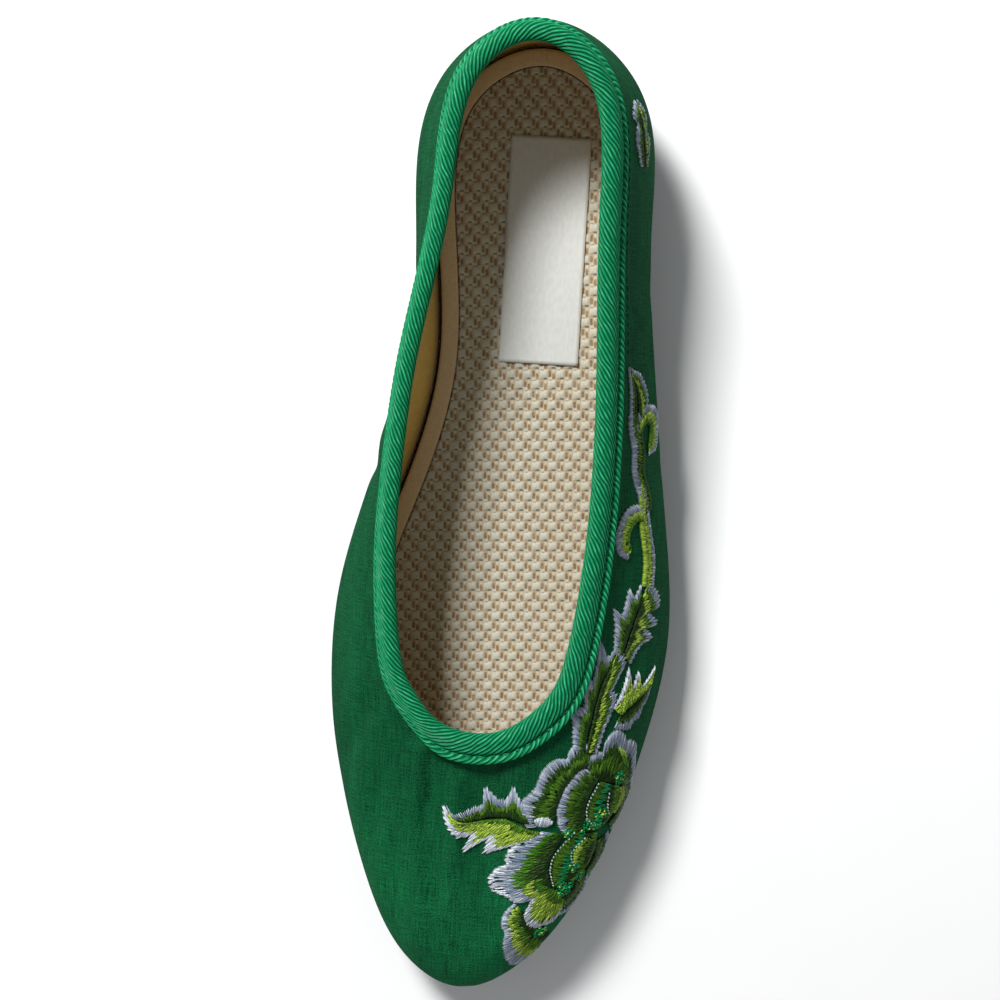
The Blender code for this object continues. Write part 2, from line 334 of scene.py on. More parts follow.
def add_piece(name, points, faces, finishes, finish_of_face=None, cloth=None, carried=None):
    """One object of the shoe from arrays.

    They are points, lists of equal-sided faces, places on the flat cloth and carried values.
    """
    mesh = bpy.data.meshes.new(name)
    corners = np.concatenate([face.ravel() for face in faces]).astype(np.int32)
    sides = np.concatenate([np.full(len(face), face.shape[1]) for face in faces])
    mesh.vertices.add(len(points))
    mesh.vertices.foreach_set("co", (points * MILLIMETRE).ravel().astype(np.float32))
    mesh.loops.add(len(corners))
    mesh.loops.foreach_set("vertex_index", corners)
    mesh.polygons.add(len(sides))
    mesh.polygons.foreach_set("loop_start", (np.cumsum(sides) - sides).astype(np.int32))
    mesh.polygons.foreach_set("use_smooth", np.ones(len(sides), bool))
    for finish in finishes:
        mesh.materials.append(finish.material)
    if finish_of_face is not None:
        mesh.polygons.foreach_set("material_index", finish_of_face.astype(np.int32))
    if cloth is not None:
        mesh.uv_layers.new(name="cloth").data.foreach_set("uv", cloth[corners].ravel().astype(np.float32))
    for key, values in (carried or {}).items():
        kind, field = ("FLOAT", "value") if values.ndim == 1 else ("FLOAT_COLOR", "color")
        mesh.attributes.new(key, kind, "POINT").data.foreach_set(field, values.ravel().astype(np.float32))
    mesh.update(calc_edges=True)
    piece = bpy.data.objects.new(name, mesh)
    bpy.context.scene.collection.objects.link(piece)
    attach(piece, "root")
    return piece


def sole_rim(turn, out, height, lift):
    """Rim of the sole moved out from the sole line, a lift over a height of its own station."""
    flat = plan_line("sole", turn) + plan_out("sole", turn) * out
    return raised(flat, height(station(flat)) + lift)


TREAD_PITCH = 6.0
TREAD_DEPTH = 0.8
TREAD_WAVE = 1.4
TREAD_BORDER = 7.0
TREAD_ZONES = ((10.0, 56.0), (142.0, 226.0))


def tread(flat, margin):
    """Underside of the sole: waved cross grooves inside a plain border, under the heel and the ball."""
    s = station(flat)
    zone = sum(smooth_step(a, a + 3.0, s) * (1.0 - smooth_step(b - 3.0, b, s)) for a, b in TREAD_ZONES)
    wave = np.sin(2.0 * np.pi * (s + TREAD_WAVE * np.sin(flat[..., 0] / 4.0)) / TREAD_PITCH)
    inside = smooth_step(TREAD_BORDER, TREAD_BORDER + 2.0, margin)
    return sole_bottom(s) + TREAD_DEPTH * zone * smooth_step(0.2, 0.8, wave) * inside


# distance out from the sole line, and lift over the underside or the upper face
LOWER_RIMS = ((-1.4, 0.0), (-0.8, 0.2), (-0.42, 0.6), (-0.3, 1.2))
UPPER_RIMS = ((0.38, -0.7), (0.4, -0.35), (0.25, -0.08), (-0.2, 0.0))
turns = even_turns(720)
rims = [sole_rim(turns, out, sole_bottom, lift) for out, lift in LOWER_RIMS]
rims += [sole_rim(turns, out, sole_top, lift) for out, lift in UPPER_RIMS]
points, faces = stacked(rims, (56, tread), (6, lambda flat, margin: sole_top(station(flat))))
rubber = Finish("charcoal_rubber", 0.62, 0.35)
dust = rubber.shoe_cloud(0.12, 4.0)
rubber.paint(rubber.between(dust * 1.8 - 0.4, dye(38, 37, 38), dye(66, 64, 62)))
rubber.emboss(rubber.shoe_cloud(3.0, 3.0), 0.12)
outsole = add_piece("moulded_outsole", points, faces, [rubber])
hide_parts("outsole")

# Upper: slubbed green silk bonded to an ochre cotton lining, cut as two quarters joined at the back seam
# and lasted over the sole. Soft pulls run down the vamp from the collar, and tucks gather at the toe.
WALL = 1.8
RISE_SHARE = 0.42
# turn and rise where a crease starts and ends, height over the cloth and half width in mm
CREASES = {
    "vamp trough": (0.967, 0.93, 0.977, 0.76, -1.2, 2.5),
    "vamp trough, long": (0.967, 0.93, 0.986, 0.56, -1.1, 2.7),
    "vamp ridge": (0.953, 0.92, 0.985, 0.40, 1.5, 3.6),
    "inner vamp trough": (0.928, 0.90, 0.946, 0.60, -1.0, 3.4),
    "middle vamp ridge": (0.989, 0.90, 0.994, 0.70, 1.5, 2.9),
    "outer vamp trough": (0.010, 0.95, 0.011, 0.50, -2.3, 5.8),
    "inner ball trough": (0.880, 0.88, 0.896, 0.58, -0.90, 3.6),
    "inner waist trough": (0.742, 0.86, 0.728, 0.30, -0.95, 3.4),
    "inner waist ridge": (0.722, 0.84, 0.712, 0.30, 0.45, 3.6),
    "inner heel trough": (0.640, 0.80, 0.648, 0.25, -0.50, 4.0),
    "outer waist trough": (0.268, 0.84, 0.280, 0.30, -0.45, 3.8),
    "outer heel trough": (0.372, 0.80, 0.362, 0.30, -0.45, 4.0),
    "back seam": (0.500, 0.02, 0.500, 0.90, -0.55, 0.7),
    "toe tuck": (0.002, 0.00, 0.003, 0.13, -0.30, 1.5),
    "outer toe tuck": (0.018, 0.00, 0.019, 0.12, -0.30, 1.5),
    "outer corner tuck": (0.036, 0.00, 0.037, 0.10, -0.25, 1.6),
    "inner toe tuck": (0.984, 0.00, 0.983, 0.12, -0.30, 1.5),
    "inner corner tuck": (0.966, 0.00, 0.965, 0.10, -0.25, 1.6),
}


def wall(turn, rise):
    """Outer face of the upper: at each turn a cubic curve from the sole line to the top edge.

    Its first inner pull swells out low on the wall, and its second follows the slope under the top edge.
    """
    foot, top = plan_line("sole", turn), plan_line("top", turn)
    foot_z, top_z = sole_top(follow("sole_s", turn)) + CLEARANCE, follow("top_z", turn)
    fall, crown = np.radians(follow("slope", turn)), follow("crown", turn)
    swollen = foot + plan_out("sole", turn) * follow("swell", turn)[..., None]
    crowned = top + plan_out("top", turn) * (crown * np.cos(fall))[..., None]
    pulls = (
        raised(foot, foot_z),
        raised(swollen, foot_z + RISE_SHARE * (top_z - foot_z)),
        raised(crowned, top_z - crown * np.sin(fall)),
        raised(top, top_z),
    )
    up = np.asarray(rise)[..., None]
    down = 1.0 - up
    shares = (down**3, 3 * down**2 * up, 3 * down * up**2, up**3)
    return sum(share * pull for share, pull in zip(shares, pulls))


def wall_out(turn, rise):
    """Unit outward normals of the outer face, square to short steps round and up."""
    around = wall(turn + 0.001, rise) - wall(turn - 0.001, rise)
    up = wall(turn, np.minimum(rise + 0.001, 1.0)) - wall(turn, np.maximum(rise - 0.001, 0.0))
    return unit(np.cross(around, up))


def crease_height(points):
    """Sum of the creases at points of the wall: a bell across each crease's line, eased to its ends."""
    height = np.zeros(points.shape[:-1])
    for start_turn, start_rise, end_turn, end_rise, rise, half_width in CREASES.values():
        start, end = wall(np.array([start_turn, end_turn]), np.array([start_rise, end_rise]))
        share = np.clip((points - start) @ (end - start) / np.sum((end - start) ** 2), 0.0, 1.0)
        away = np.linalg.norm(points - start - share[..., None] * (end - start), axis=-1)
        ease = 0.35 + 0.65 * np.sin(np.pi * (0.15 + 0.7 * share))
        height += rise * np.exp(-((away / half_width) ** 2)) * ease
    return height


def silk_face(turn, rise):
    """Points of the creased outer face and the wall's normals there."""
    points, normal = wall(turn, rise), wall_out(turn, rise)
    return points + normal * crease_height(points)[..., None], normal


toe_ridge = wall(np.zeros(40), np.linspace(0.0, 1.0, 40))
top_ridge = wall(np.linspace(0.02, 0.5, 60), np.ones(60))
ridge = np.concatenate([toe_ridge, top_ridge])[:, 1:]
CLOTH_MIDDLE = -3.1
DROP_SHARE = 0.85
WAIST_TURN, QUARTER_TURN = 0.25, 0.36


def way_along(line):
    """Distances along a line of points, from its start."""
    return np.concatenate([[0.0], np.cumsum(np.linalg.norm(np.diff(line, axis=0), axis=1))])


def flat_cloth(points, turn):
    """Places on the flat cloth: across from the ridge of the shoe, adding most of the drop, and along it.

    Past the waist the way along follows the quarter round the heel, and the way across stays clear of
    its bend.
    """
    drop = np.maximum(np.interp(points[..., 1], ridge[:, 0], ridge[:, 1]) - points[..., 2], 0.0)
    side = np.where(turn < 0.5, 1.0, -1.0)
    folded = np.minimum(turn, 1.0 - turn)
    wrap, spread = np.zeros_like(turn), np.zeros_like(turn)
    for this_side in (1.0, -1.0):
        way = np.linspace(WAIST_TURN, 0.5, 200)
        line = wall(way if this_side > 0 else 1.0 - way, np.full(200, 0.5))
        run = way_along(line)
        breadth = np.abs(line[:, 0] - CLOTH_MIDDLE)
        held = np.interp(QUARTER_TURN, way, breadth) - breadth
        here = (side == this_side) & (folded > WAIST_TURN)
        wrap = np.where(here, np.interp(folded, way, run - line[:, 1] + line[0, 1]), wrap)
        spread = np.where(here & (folded > QUARTER_TURN), np.interp(folded, way, held), spread)
    across = (points[..., 0] - CLOTH_MIDDLE) * side
    return np.stack([side * (across + DROP_SHARE * drop + spread), points[..., 1] + wrap], -1)


turns = even_turns(512)
outer_rise = np.linspace(0.0, 1.0, 92)[:, None]
inner_rise = np.linspace(1.0, 0.0, 34)[:, None]
silk_skin = silk_face(turns, outer_rise)[0]
lining_face, lining_out = silk_face(turns, inner_rise)
lining_skin = lining_face - WALL * lining_out
shell = np.concatenate([silk_skin, lining_skin])
quads = ring_quads(len(shell), len(turns), True)
is_lining = quads[:, 0] // len(turns) >= len(outer_rise)

silk = Finish("slubbed_silk", coat=(0.06, 0.42))
across, along = silk.cloth_place()
warp = silk.cloud(across * 2.2, along * 0.14)
weft = silk.cloud(across * 0.14, along * 2.6, 7.0)
grain = silk.cloud(across * 3.2, along * 2.6, 3.0)
shade = silk.cloud(across * 0.16, along * 0.012, 5.0)
threads = warp * 0.55 + weft * 0.45 + grain * 1.2
weave = threads * 1.9 + shade * 0.5 - 1.84
deep_green = silk.between(weave, dye(4, 42, 25), dye(22, 97, 57))
lit_toe_green = silk.between(weave, dye(5, 51, 30), dye(27, 118, 70))
# painted light: the silk is painted paler towards the toe, from 63 mm ahead of the middle to 97 mm
silk.paint(silk.between(along * -0.03 - 1.9, deep_green, lit_toe_green))
silk.emboss(threads, 0.11)
silk.roughen(threads * 0.12 + 0.45)

cotton = Finish("cotton_lining", 0.85, 0.2, sheen=0.15)
across, along = cotton.cloth_place()
yarn = cotton.cloud(across * 2.6, along * 0.5) * 0.5 + cotton.cloud(across * 0.5, along * 2.6, 4.0) * 0.5
cotton.paint(cotton.between(yarn * 1.6 - 0.3, dye(196, 160, 72), dye(226, 196, 112)))
cotton.emboss(yarn, 0.12)
upper = add_piece(
    "silk_upper",
    shell.reshape(-1, 3),
    [quads],
    [silk, cotton],
    is_lining,
    flat_cloth(shell, turns).reshape(-1, 2),
)
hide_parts("upper")

# Collar binding: a bias tape of satin cord, folded over the top edge and sewn through, narrower along the
# inner side of the foot. Its ribs climb towards the fold at a slant, and below the row of stitches its
# lower edge stands out as a thin twisted roll.
TAPE_LEG = 5.2
TAPE_LIFT = 1.2
RIBS = 236
RIB_CLIMB = 1.08
RIB_HEIGHT = 0.34
STITCH_ROW = 2.15
ROLL_HEIGHT = 1.8
ROLL_HALF = 1.05
GROOVE_FLOOR = 0.45
INNER_NARROWING = 0.34
leg = np.concatenate([np.linspace(0.0, 2.6, 12), np.linspace(2.95, TAPE_LEG, 6)])
inner_leg = np.linspace(0.0, TAPE_LEG, 8)
fold = np.linspace(0.0, np.pi, 14)[1:-1]
edge_turn = np.linspace(0.5, 1.5, 2001)
edge = wall(edge_turn, np.ones(2001))
edge_way = way_along(edge)
rib_count = np.arange(8 * RIBS) / 8


def inner_side(turn):
    """1 along the inner side of the foot, eased to 0 at the heel and the throat."""
    return smooth_step(0.53, 0.61, turn) * (1.0 - smooth_step(0.93, 0.985, turn))


def rise_below(turn, depth):
    """Rises a set of distances below the top edge, measured along the wall: a row of turns for each.

    Along the inner side of the foot the tape is folded narrower, and the distances shrink with it.
    """
    fine = np.linspace(1.0, 0.6, 60)[:, None]
    round_turn = np.linspace(0.0, 1.0, 721)
    way = np.cumsum(np.linalg.norm(np.diff(wall(round_turn, fine), axis=0), axis=2), axis=0)
    narrowed = 1.0 - INNER_NARROWING * inner_side(round_turn)
    way = np.concatenate([np.zeros((1, way.shape[1])), way]) / narrowed
    k = np.clip((way[:, None] < depth[None, :, None]).sum(0) - 1, 0, len(fine) - 2)
    low, high = np.take_along_axis(way, k, 0), np.take_along_axis(way, k + 1, 0)
    rise = fine[k, 0] + (fine[k + 1, 0] - fine[k, 0]) * (depth[:, None] - low) / (high - low)
    turn = np.broadcast_to(turn, (len(depth), np.shape(turn)[-1])) % 1.0
    return np.array([np.interp(row, round_turn, rise_row) for row, rise_row in zip(turn, rise)])


def rib_turns(across):
    """Turns of the ribs at distances across the tape.

    A rib runs on round the edge as it climbs, and wanders a little.
    """
    way = (rib_count + across / RIB_CLIMB) * edge_way[-1] / RIBS
    angle = 2 * np.pi * way / edge_way[-1]
    way = way + 0.24 * np.sin(29 * angle) + 0.16 * np.sin(83 * angle)
    return np.interp(way % edge_way[-1], edge_way, edge_turn) % 1.0


def tape_frame(turn, leg, fold, inner_leg):
    """Ground points and outward directions across the folded tape.

    They run up the outside, over the edge and down the inside.
    """
    leg_turn, fold_turn, inner_turn = np.split(turn, [len(leg), len(leg) + len(fold)])
    rise, inner_rise = rise_below(leg_turn, TAPE_LEG - leg), rise_below(inner_turn, inner_leg)
    inner_out = -wall_out(inner_turn, inner_rise)
    top_rise = np.ones(fold_turn.shape)
    top, top_out = wall(fold_turn, top_rise), wall_out(fold_turn, top_rise)
    up = unit(np.cross(top_out, np.cross(top - wall(fold_turn, 0.99 * top_rise), top_out)))
    angle = fold[:, None, None]
    over = np.cos(angle) * top_out + np.sin(angle) * up
    folded = top - top_out * WALL / 2 + over * WALL / 2
    return (
        np.concatenate([wall(leg_turn, rise), folded, wall(inner_turn, inner_rise) + inner_out * WALL]),
        np.concatenate([wall_out(leg_turn, rise), over, inner_out]),
    )


def tape_lift(across, turn):
    """Height of the tape over the upper by distance from its outer lower edge.

    It is a roll, a sewn groove and a flat band. Along the inner side of the foot the roll lies lower and
    the groove is pulled less deep.
    """
    inner = inner_side(turn)
    round_share = np.clip(1.0 - ((across - 1.0) / ROLL_HALF) ** 2, 0.0, 1.0)
    roll = (ROLL_HEIGHT - 0.65 * inner) * np.sqrt(round_share)
    floor = GROOVE_FLOOR + 0.5 * inner
    band = TAPE_LIFT + 0.12 - 0.2 * inner
    groove = floor + (band - floor) * smooth_step(STITCH_ROW, STITCH_ROW + 1.3, across)
    return np.maximum(np.where(across < STITCH_ROW, roll, 0.0), groove)


def over_tape(leg, fold, inner_leg):
    """Distances across the tape from its outer lower edge, as a column."""
    half_round = WALL / 2 + TAPE_LIFT
    inner_start = TAPE_LEG + np.pi * half_round
    return np.concatenate([leg, TAPE_LEG + fold * half_round, inner_start + inner_leg])[:, None]


tape_way = over_tape(leg, fold, inner_leg)
inner_end = tape_way[-1, 0]
turns = rib_turns(tape_way)
ground, tape_out = tape_frame(turns, leg, fold, inner_leg)
rib = np.abs(np.sin(np.pi * rib_count))
hem = smooth_step(0.0, 0.5, tape_way) * (1.0 - smooth_step(inner_end - 0.6, inner_end, tape_way))
lift = tape_lift(tape_way, turns) * np.where(tape_way > inner_end - 0.3, 0.6, 1.0)
relief = RIB_HEIGHT * (rib - 0.55) * (0.25 + 0.75 * hem)
tape_face = ground + tape_out * np.maximum(lift + relief, 0.08)[..., None]
back_rows = np.array([0.4, TAPE_LEG]), np.pi * np.array([0.25, 0.5, 0.75]), np.array([0.0, TAPE_LEG - 0.4])
back_ground, back_out = tape_frame(rib_turns(over_tape(*back_rows)), *back_rows)
tape_back = (back_ground + back_out * 0.05)[::-1]
tape = np.concatenate([tape_face, tape_back])
rib_tone = np.concatenate([np.broadcast_to(rib, turns.shape), np.zeros(tape_back.shape[:2])])
strand_way = np.stack(np.broadcast_arrays(tape_way * 2.3, rib_count), -1)
strand_way = np.concatenate([strand_way, np.zeros((*tape_back.shape[:2], 2))])

satin_cord = Finish("satin_cord", 0.5, coat=(0.1, 0.34))
along, across = satin_cord.cloth_place()
fibre = satin_cord.cloud(along * 0.5, across * 6.0, 2.0)
crest = satin_cord.carried("rib")
gloss = satin_cord.cloud(along * 0.35, across * 0.8, 8.0)
# painted shade: the cord is painted darker down in the valleys between its ribs
cord = satin_cord.between(crest * 1.3 + fibre * 0.6 - 0.4, dye(2, 66, 40), dye(12, 122, 76))
# painted highlight: pale mint painted along each rib's crest, broken up by the gloss noise
painted_crest_highlight = crest * 3.0 + fibre * 1.2 + gloss * 1.6 - 4.0
satin_cord.paint(satin_cord.between(painted_crest_highlight, cord, dye(84, 196, 144)))
satin_cord.emboss(fibre, 0.06)
binding = add_piece(
    "ribbed_collar_binding",
    tape.reshape(-1, 3),
    [ring_quads(len(tape), len(rib_count), True)],
    [satin_cord],
    cloth=strand_way.reshape(-1, 2),
    carried={"rib": rib_tone.ravel()},
)
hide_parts("collar_binding")

# Footbed: a board covered in coarse woven cloth, cream blocks of weft over brown warp in offset rows.
# It is laid in the shoe inside its bound edge, with the weave a little askew to the shoe.
FOOTBED_HEIGHT = 4.2
FOOTBED_INSET = WALL + 0.7
EDGE_TAPE = 0.8
EDGE_TAPE_WIDTH = 4.4
EDGE_TAPE_PROUD = 0.4
WEAVE_WIDTH = 4.25
WEAVE_ROW = 2.65
WEAVE_TURN = np.radians(4.83)
WEAVE_COS, WEAVE_SIN = float(np.cos(WEAVE_TURN)), float(np.sin(WEAVE_TURN))
BLOCK = (1.02, 0.98)
WEAVE_DEPTH = 0.3
bed_top = CLEARANCE + FOOTBED_HEIGHT
tape_top = bed_top + EDGE_TAPE_PROUD
rebate_top = tape_top - EDGE_TAPE - CLEARANCE


def bed_rim(turn, inward, height):
    """Rim a distance in from the footbed's outer edge and a height over the sole."""
    flat = plan_line("sole", turn) - plan_out("sole", turn) * (FOOTBED_INSET + inward)
    return raised(flat, sole_top(station(flat)) + height)


def weave_relief(flat, margin):
    """Top of the footbed: blocks stand up round-shouldered, and the brown warp lies lower between them."""
    along = WEAVE_COS * flat[..., 1] - WEAVE_SIN * flat[..., 0]
    across = WEAVE_COS * flat[..., 0] + WEAVE_SIN * flat[..., 1]
    row = np.floor(along / WEAVE_ROW + 0.5)
    up = along / WEAVE_ROW - row
    over = (across / WEAVE_WIDTH + 0.5 * (row % 2) + 0.5) % 1.0 - 0.5
    block = np.maximum(np.abs(over * WEAVE_WIDTH) / BLOCK[0], np.abs(up * WEAVE_ROW) / BLOCK[1])
    return sole_top(station(flat)) + bed_top - WEAVE_DEPTH * smooth_step(0.55, 1.2, block)


turns = even_turns(880)
points, faces = stacked(
    [
        bed_rim(turns, EDGE_TAPE + CLEARANCE, CLEARANCE),
        bed_rim(turns, EDGE_TAPE + CLEARANCE, rebate_top),
        bed_rim(turns, EDGE_TAPE_WIDTH + CLEARANCE, rebate_top),
        bed_rim(turns, EDGE_TAPE_WIDTH + CLEARANCE, bed_top - 0.1),
    ],
    (4, lambda flat, margin: sole_top(station(flat)) + CLEARANCE),
    (132, weave_relief),
)
straw = Finish("woven_straw_cloth", 0.8, 0.25, sheen=0.1)
x, y, z = straw.shoe_place()
wander = straw.cloud(x * 0.6, y * 0.6, 2.0)
stray = straw.cloud(x * 0.6, y * 0.6, 9.0)
across = x * WEAVE_COS + y * WEAVE_SIN + wander * 0.5 - 0.25
along = y * WEAVE_COS - x * WEAVE_SIN + stray * 0.4 - 0.2
rows = along * (1.0 / WEAVE_ROW) + 0.5
row = rows.step("FLOOR")
up = (rows - row - 0.5) * WEAVE_ROW
odd = row.step("FLOORED_MODULO", 2.0) * 0.5
over = ((across * (1.0 / WEAVE_WIDTH) + odd + 0.5).step("FRACT") - 0.5) * WEAVE_WIDTH


def patch(at_over, at_up, half_over, half_up, edge):
    """1 inside a bar of the weave's repeat with rounded corners, 0 outside, soft over its edge."""
    side = ((over - at_over) * (1.0 / half_over)).step("POWER", 4.0)
    rise = ((up - at_up) * (1.0 / half_up)).step("POWER", 4.0)
    return (((side + rise) * -1.0 + 1.0) * edge + 0.5).held()


def square(half_over, half_up, edge):
    """1 inside a square block about the middle of the repeat, soft over its edge."""
    side = over.step("ABSOLUTE") * (1.0 / half_over)
    rise = up.step("ABSOLUTE") * (1.0 / half_up)
    return ((side.step("MAXIMUM", rise) * -1.0 + 1.0) * edge + 0.5).held()


CREAM, PEACH, TAN = dye(195, 193, 178), dye(209, 194, 167), dye(179, 167, 142)
BROWN, LIGHT_BROWN, GAP_SHADOW = dye(121, 94, 62), dye(131, 102, 70), dye(98, 100, 83)
cloth = straw.between(patch(-1.95, 0.88, 0.55, 0.4, 2.0), TAN, PEACH)
cloth = straw.between(patch(1.5, -0.97, 0.6, 0.36, 2.0), cloth, CREAM)
worn = straw.cloud(across * 0.45, along * 0.6, 12.0) * 1.5 + 0.1
cloth = straw.between(patch(1.56, 0.12, 0.34, 0.84, 0.8) * worn, cloth, BROWN)
cloth = straw.between(patch(-1.72, -0.62, 0.36, 0.84, 0.8) * worn, cloth, LIGHT_BROWN)
cloth = straw.between(square(BLOCK[0] * 1.02, BLOCK[1] * 1.04, 4.0), cloth, CREAM)
# painted shadow: grey-green dashes in the gaps below and above each cream block
cloth = straw.between(patch(0.38, -1.04, 0.46, 0.24, 2.0) * 0.85, cloth, GAP_SHADOW)
cloth = straw.between(patch(-0.38, 1.1, 0.4, 0.2, 2.0) * 0.55, cloth, GAP_SHADOW)
speck = straw.cloud(across * 3.0, along * 1.4, 5.0)
straw.paint(straw.between(speck * 0.9 - 0.25, cloth, dye(141, 130, 109)))
straw.emboss(square(BLOCK[0], BLOCK[1], 1.5) + straw.cloud(across * 1.2, along * 4.0) * 0.4, 0.12)
footbed = add_piece("woven_footbed", points, faces, [straw])
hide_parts("insole")

# Bound edge of the footbed: a soft beige cotton tape standing at its side and turned over its upper edge.
# It is pasted into a rebate round the board, and stands a little proud of the weave.
EDGE_TAPE_SECTION = (
    (0.0, CLEARANCE), (0.0, tape_top - 1.0), (0.12, tape_top - 0.45), (0.45, tape_top - 0.1),
    (1.1, tape_top + 0.02), (2.2, tape_top + 0.05), (3.3, tape_top), (4.0, tape_top - 0.1),
    (4.35, tape_top - 0.35), (EDGE_TAPE_WIDTH, tape_top - EDGE_TAPE), (EDGE_TAPE, tape_top - EDGE_TAPE),
    (EDGE_TAPE, CLEARANCE),
)
turns = even_turns(640)
rims = np.array([bed_rim(turns, *row) for row in EDGE_TAPE_SECTION])
section = np.array(EDGE_TAPE_SECTION)
section_way = way_along(section)
rim_way = np.cumsum(np.linalg.norm(np.roll(rims[0], -1, 0) - rims[0], axis=1))
tape_cloth = np.stack(np.broadcast_arrays(rim_way, section_way[:, None]), -1)
beige = Finish("beige_cotton_tape", 0.85, 0.2, sheen=0.2)
around_way, over_way = beige.cloth_place()
yarn = beige.cloud(around_way * 3.0, over_way * 0.6) * 0.6
yarn = yarn + beige.cloud(around_way * 0.5, over_way * 3.0, 3.0) * 0.4
beige.paint(beige.between(yarn * 1.7 - 0.35, dye(190, 164, 124), dye(220, 198, 160)))
beige.emboss(yarn, 0.1)
edge_tape = add_piece(
    "footbed_edge_tape",
    rims.reshape(-1, 3),
    [ring_quads(len(rims), len(turns), True)],
    [beige],
    cloth=tape_cloth.reshape(-1, 2),
)
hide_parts("insole_binding")

# Label: a plain strip of satin paper with a bare face, pasted flat on the footbed at the heel. It lies a
# little to the outer side of the middle and has slight waves of its own.
LABEL_MIDDLE = (3.0, 69.0)
LABEL_SIZE = (20.3, 57.5)
LABEL_TURN = np.radians(1.4)
LABEL_THICKNESS = 0.2
LABEL_PASTE = 0.08
LABEL_WAVE = 0.06
label_rows, label_columns = 60, 24
down = LABEL_SIZE[1] * np.linspace(-0.5, 0.5, label_rows)[:, None]
over = LABEL_SIZE[0] * np.linspace(-0.5, 0.5, label_columns)
label_x = LABEL_MIDDLE[0] + over * np.cos(LABEL_TURN) - down * np.sin(LABEL_TURN)
label_y = LABEL_MIDDLE[1] + over * np.sin(LABEL_TURN) + down * np.cos(LABEL_TURN)
label_flat = np.stack([label_x, label_y], -1)
label_z = sole_top(station(label_flat)) + bed_top + LABEL_PASTE
label_z += LABEL_WAVE * np.sin(label_y / 7.0) * np.sin(label_x / 3.0)
label_top = raised(label_flat, label_z + LABEL_THICKNESS).reshape(-1, 3)
label_under = raised(label_flat, label_z).reshape(-1, 3)
spot = np.arange(label_rows * label_columns).reshape(label_rows, label_columns)
sheet = np.stack([spot[:-1, :-1], spot[:-1, 1:], spot[1:, 1:], spot[1:, :-1]], 2).reshape(-1, 4)
rim = np.concatenate([spot[0, :-1], spot[:-1, -1], spot[-1, :0:-1], spot[:0:-1, 0]])
sides = np.stack([rim + spot.size, np.roll(rim, -1) + spot.size, np.roll(rim, -1), rim], 1)
paper = Finish("label_paper", 0.5, 0.4)
x, y, z = paper.shoe_place()
pulp = paper.cloud(x * 1.2, y * 0.5, 1.0, 3.0)
paper.paint(paper.between(pulp * 1.4 - 0.2, dye(187, 190, 187), dye(206, 208, 204)))
paper.emboss(pulp, 0.03)
label_points = np.concatenate([label_top, label_under])
label = add_piece("blank_label", label_points, [sheet, sheet[:, ::-1] + spot.size, sides], [paper])

# Sewing: twisted green thread. One row of long stitches lies in the groove of the collar binding and holds
# it, and two finer rows under it at the heel fasten the lining to the silk.
# turns from and to, depth below the top edge, lift, pitch, filled share of the pitch, thread width
STITCH_ROWS = {
    "groove": (-0.5, 0.5, TAPE_LEG - STITCH_ROW, 1.05, 3.1, 0.72, 0.5),
    "upper heel row": (0.33, 0.67, 8.2, 0.22, 2.2, 0.74, 0.36),
    "lower heel row": (0.33, 0.67, 10.0, 0.22, 2.2, 0.74, 0.36),
}


def thread_bodies(centre, out, width, height):
    """Closed threads along paths (thread, place, xyz): three-sided, drawn to a point at both ends."""
    count, places = centre.shape[:2]
    along = np.gradient(centre, axis=1)
    side = np.cross(along, out)
    side *= (width / np.linalg.norm(side, axis=-1) / 2)[..., None]
    crest = centre + out * np.asarray(height)[..., None]
    rings = np.stack([centre - side, centre + side, crest], 2)[:, 1:-1]
    points = np.concatenate([centre[:, :1], rings.reshape(count, -1, 3), centre[:, -1:]], 1)
    ring = 1 + 3 * np.arange(places - 2)[:, None]
    side_a, side_b = np.array([0, 1, 2]), np.array([1, 2, 0])
    low, high = ring[:-1], ring[1:]
    quads = np.stack([low + side_a, high + side_a, high + side_b, low + side_b], 2).reshape(-1, 4)
    end = points.shape[1] - 1
    start_cone = np.stack([0 * side_a, ring[0] + side_a, ring[0] + side_b], 1)
    end_cone = np.stack([0 * side_a + end, ring[-1] + side_b, ring[-1] + side_a], 1)
    first = (np.arange(count) * points.shape[1])[:, None, None]
    triangles = np.concatenate([start_cone, end_cone])
    return points.reshape(-1, 3), [(first + quads).reshape(-1, 4), (first + triangles).reshape(-1, 3)]


def seam_paths(turn_from, turn_to, depth, lift, pitch, fill):
    """Paths of stitches in a row a depth below the top edge.

    Each is a low arch that fills a share of its pitch.
    """
    way = np.linspace(turn_from, turn_to, 2000)
    line = wall(way, rise_below(way, np.array([depth]))[0])
    run = way_along(line)
    count = int(run[-1] / pitch)
    share = np.linspace(-0.5, 0.5, 7)
    at = (np.arange(count)[:, None] + 0.5 + fill * share) * pitch
    turn = np.interp(at, run, way)
    rise = rise_below(turn.ravel(), np.array([depth])).reshape(turn.shape)
    arch = lift * np.cos(np.pi * share) - 0.1
    out = wall_out(turn, rise)
    return wall(turn, rise) + out * arch[:, None], out


seams = [(*seam_paths(*row[:-1]), row[-1]) for row in STITCH_ROWS.values()]
centre = np.concatenate([path for path, path_out, thread in seams])
out = np.concatenate([path_out for path, path_out, thread in seams])
width = np.concatenate([np.full((len(path), 1), thread) for path, path_out, thread in seams])
points, faces = thread_bodies(centre, out, width, np.broadcast_to(width * 0.6, centre.shape[:2]))
sewing_thread = Finish("green_sewing_thread", 0.5, coat=(0.08, 0.4))
twist = sewing_thread.shoe_cloud(2.0)
sewing_thread.paint(sewing_thread.between(twist * 1.6 - 0.3, dye(8, 88, 52), dye(44, 146, 96)))
sewing = add_piece("collar_stitches", points, faces, [sewing_thread])

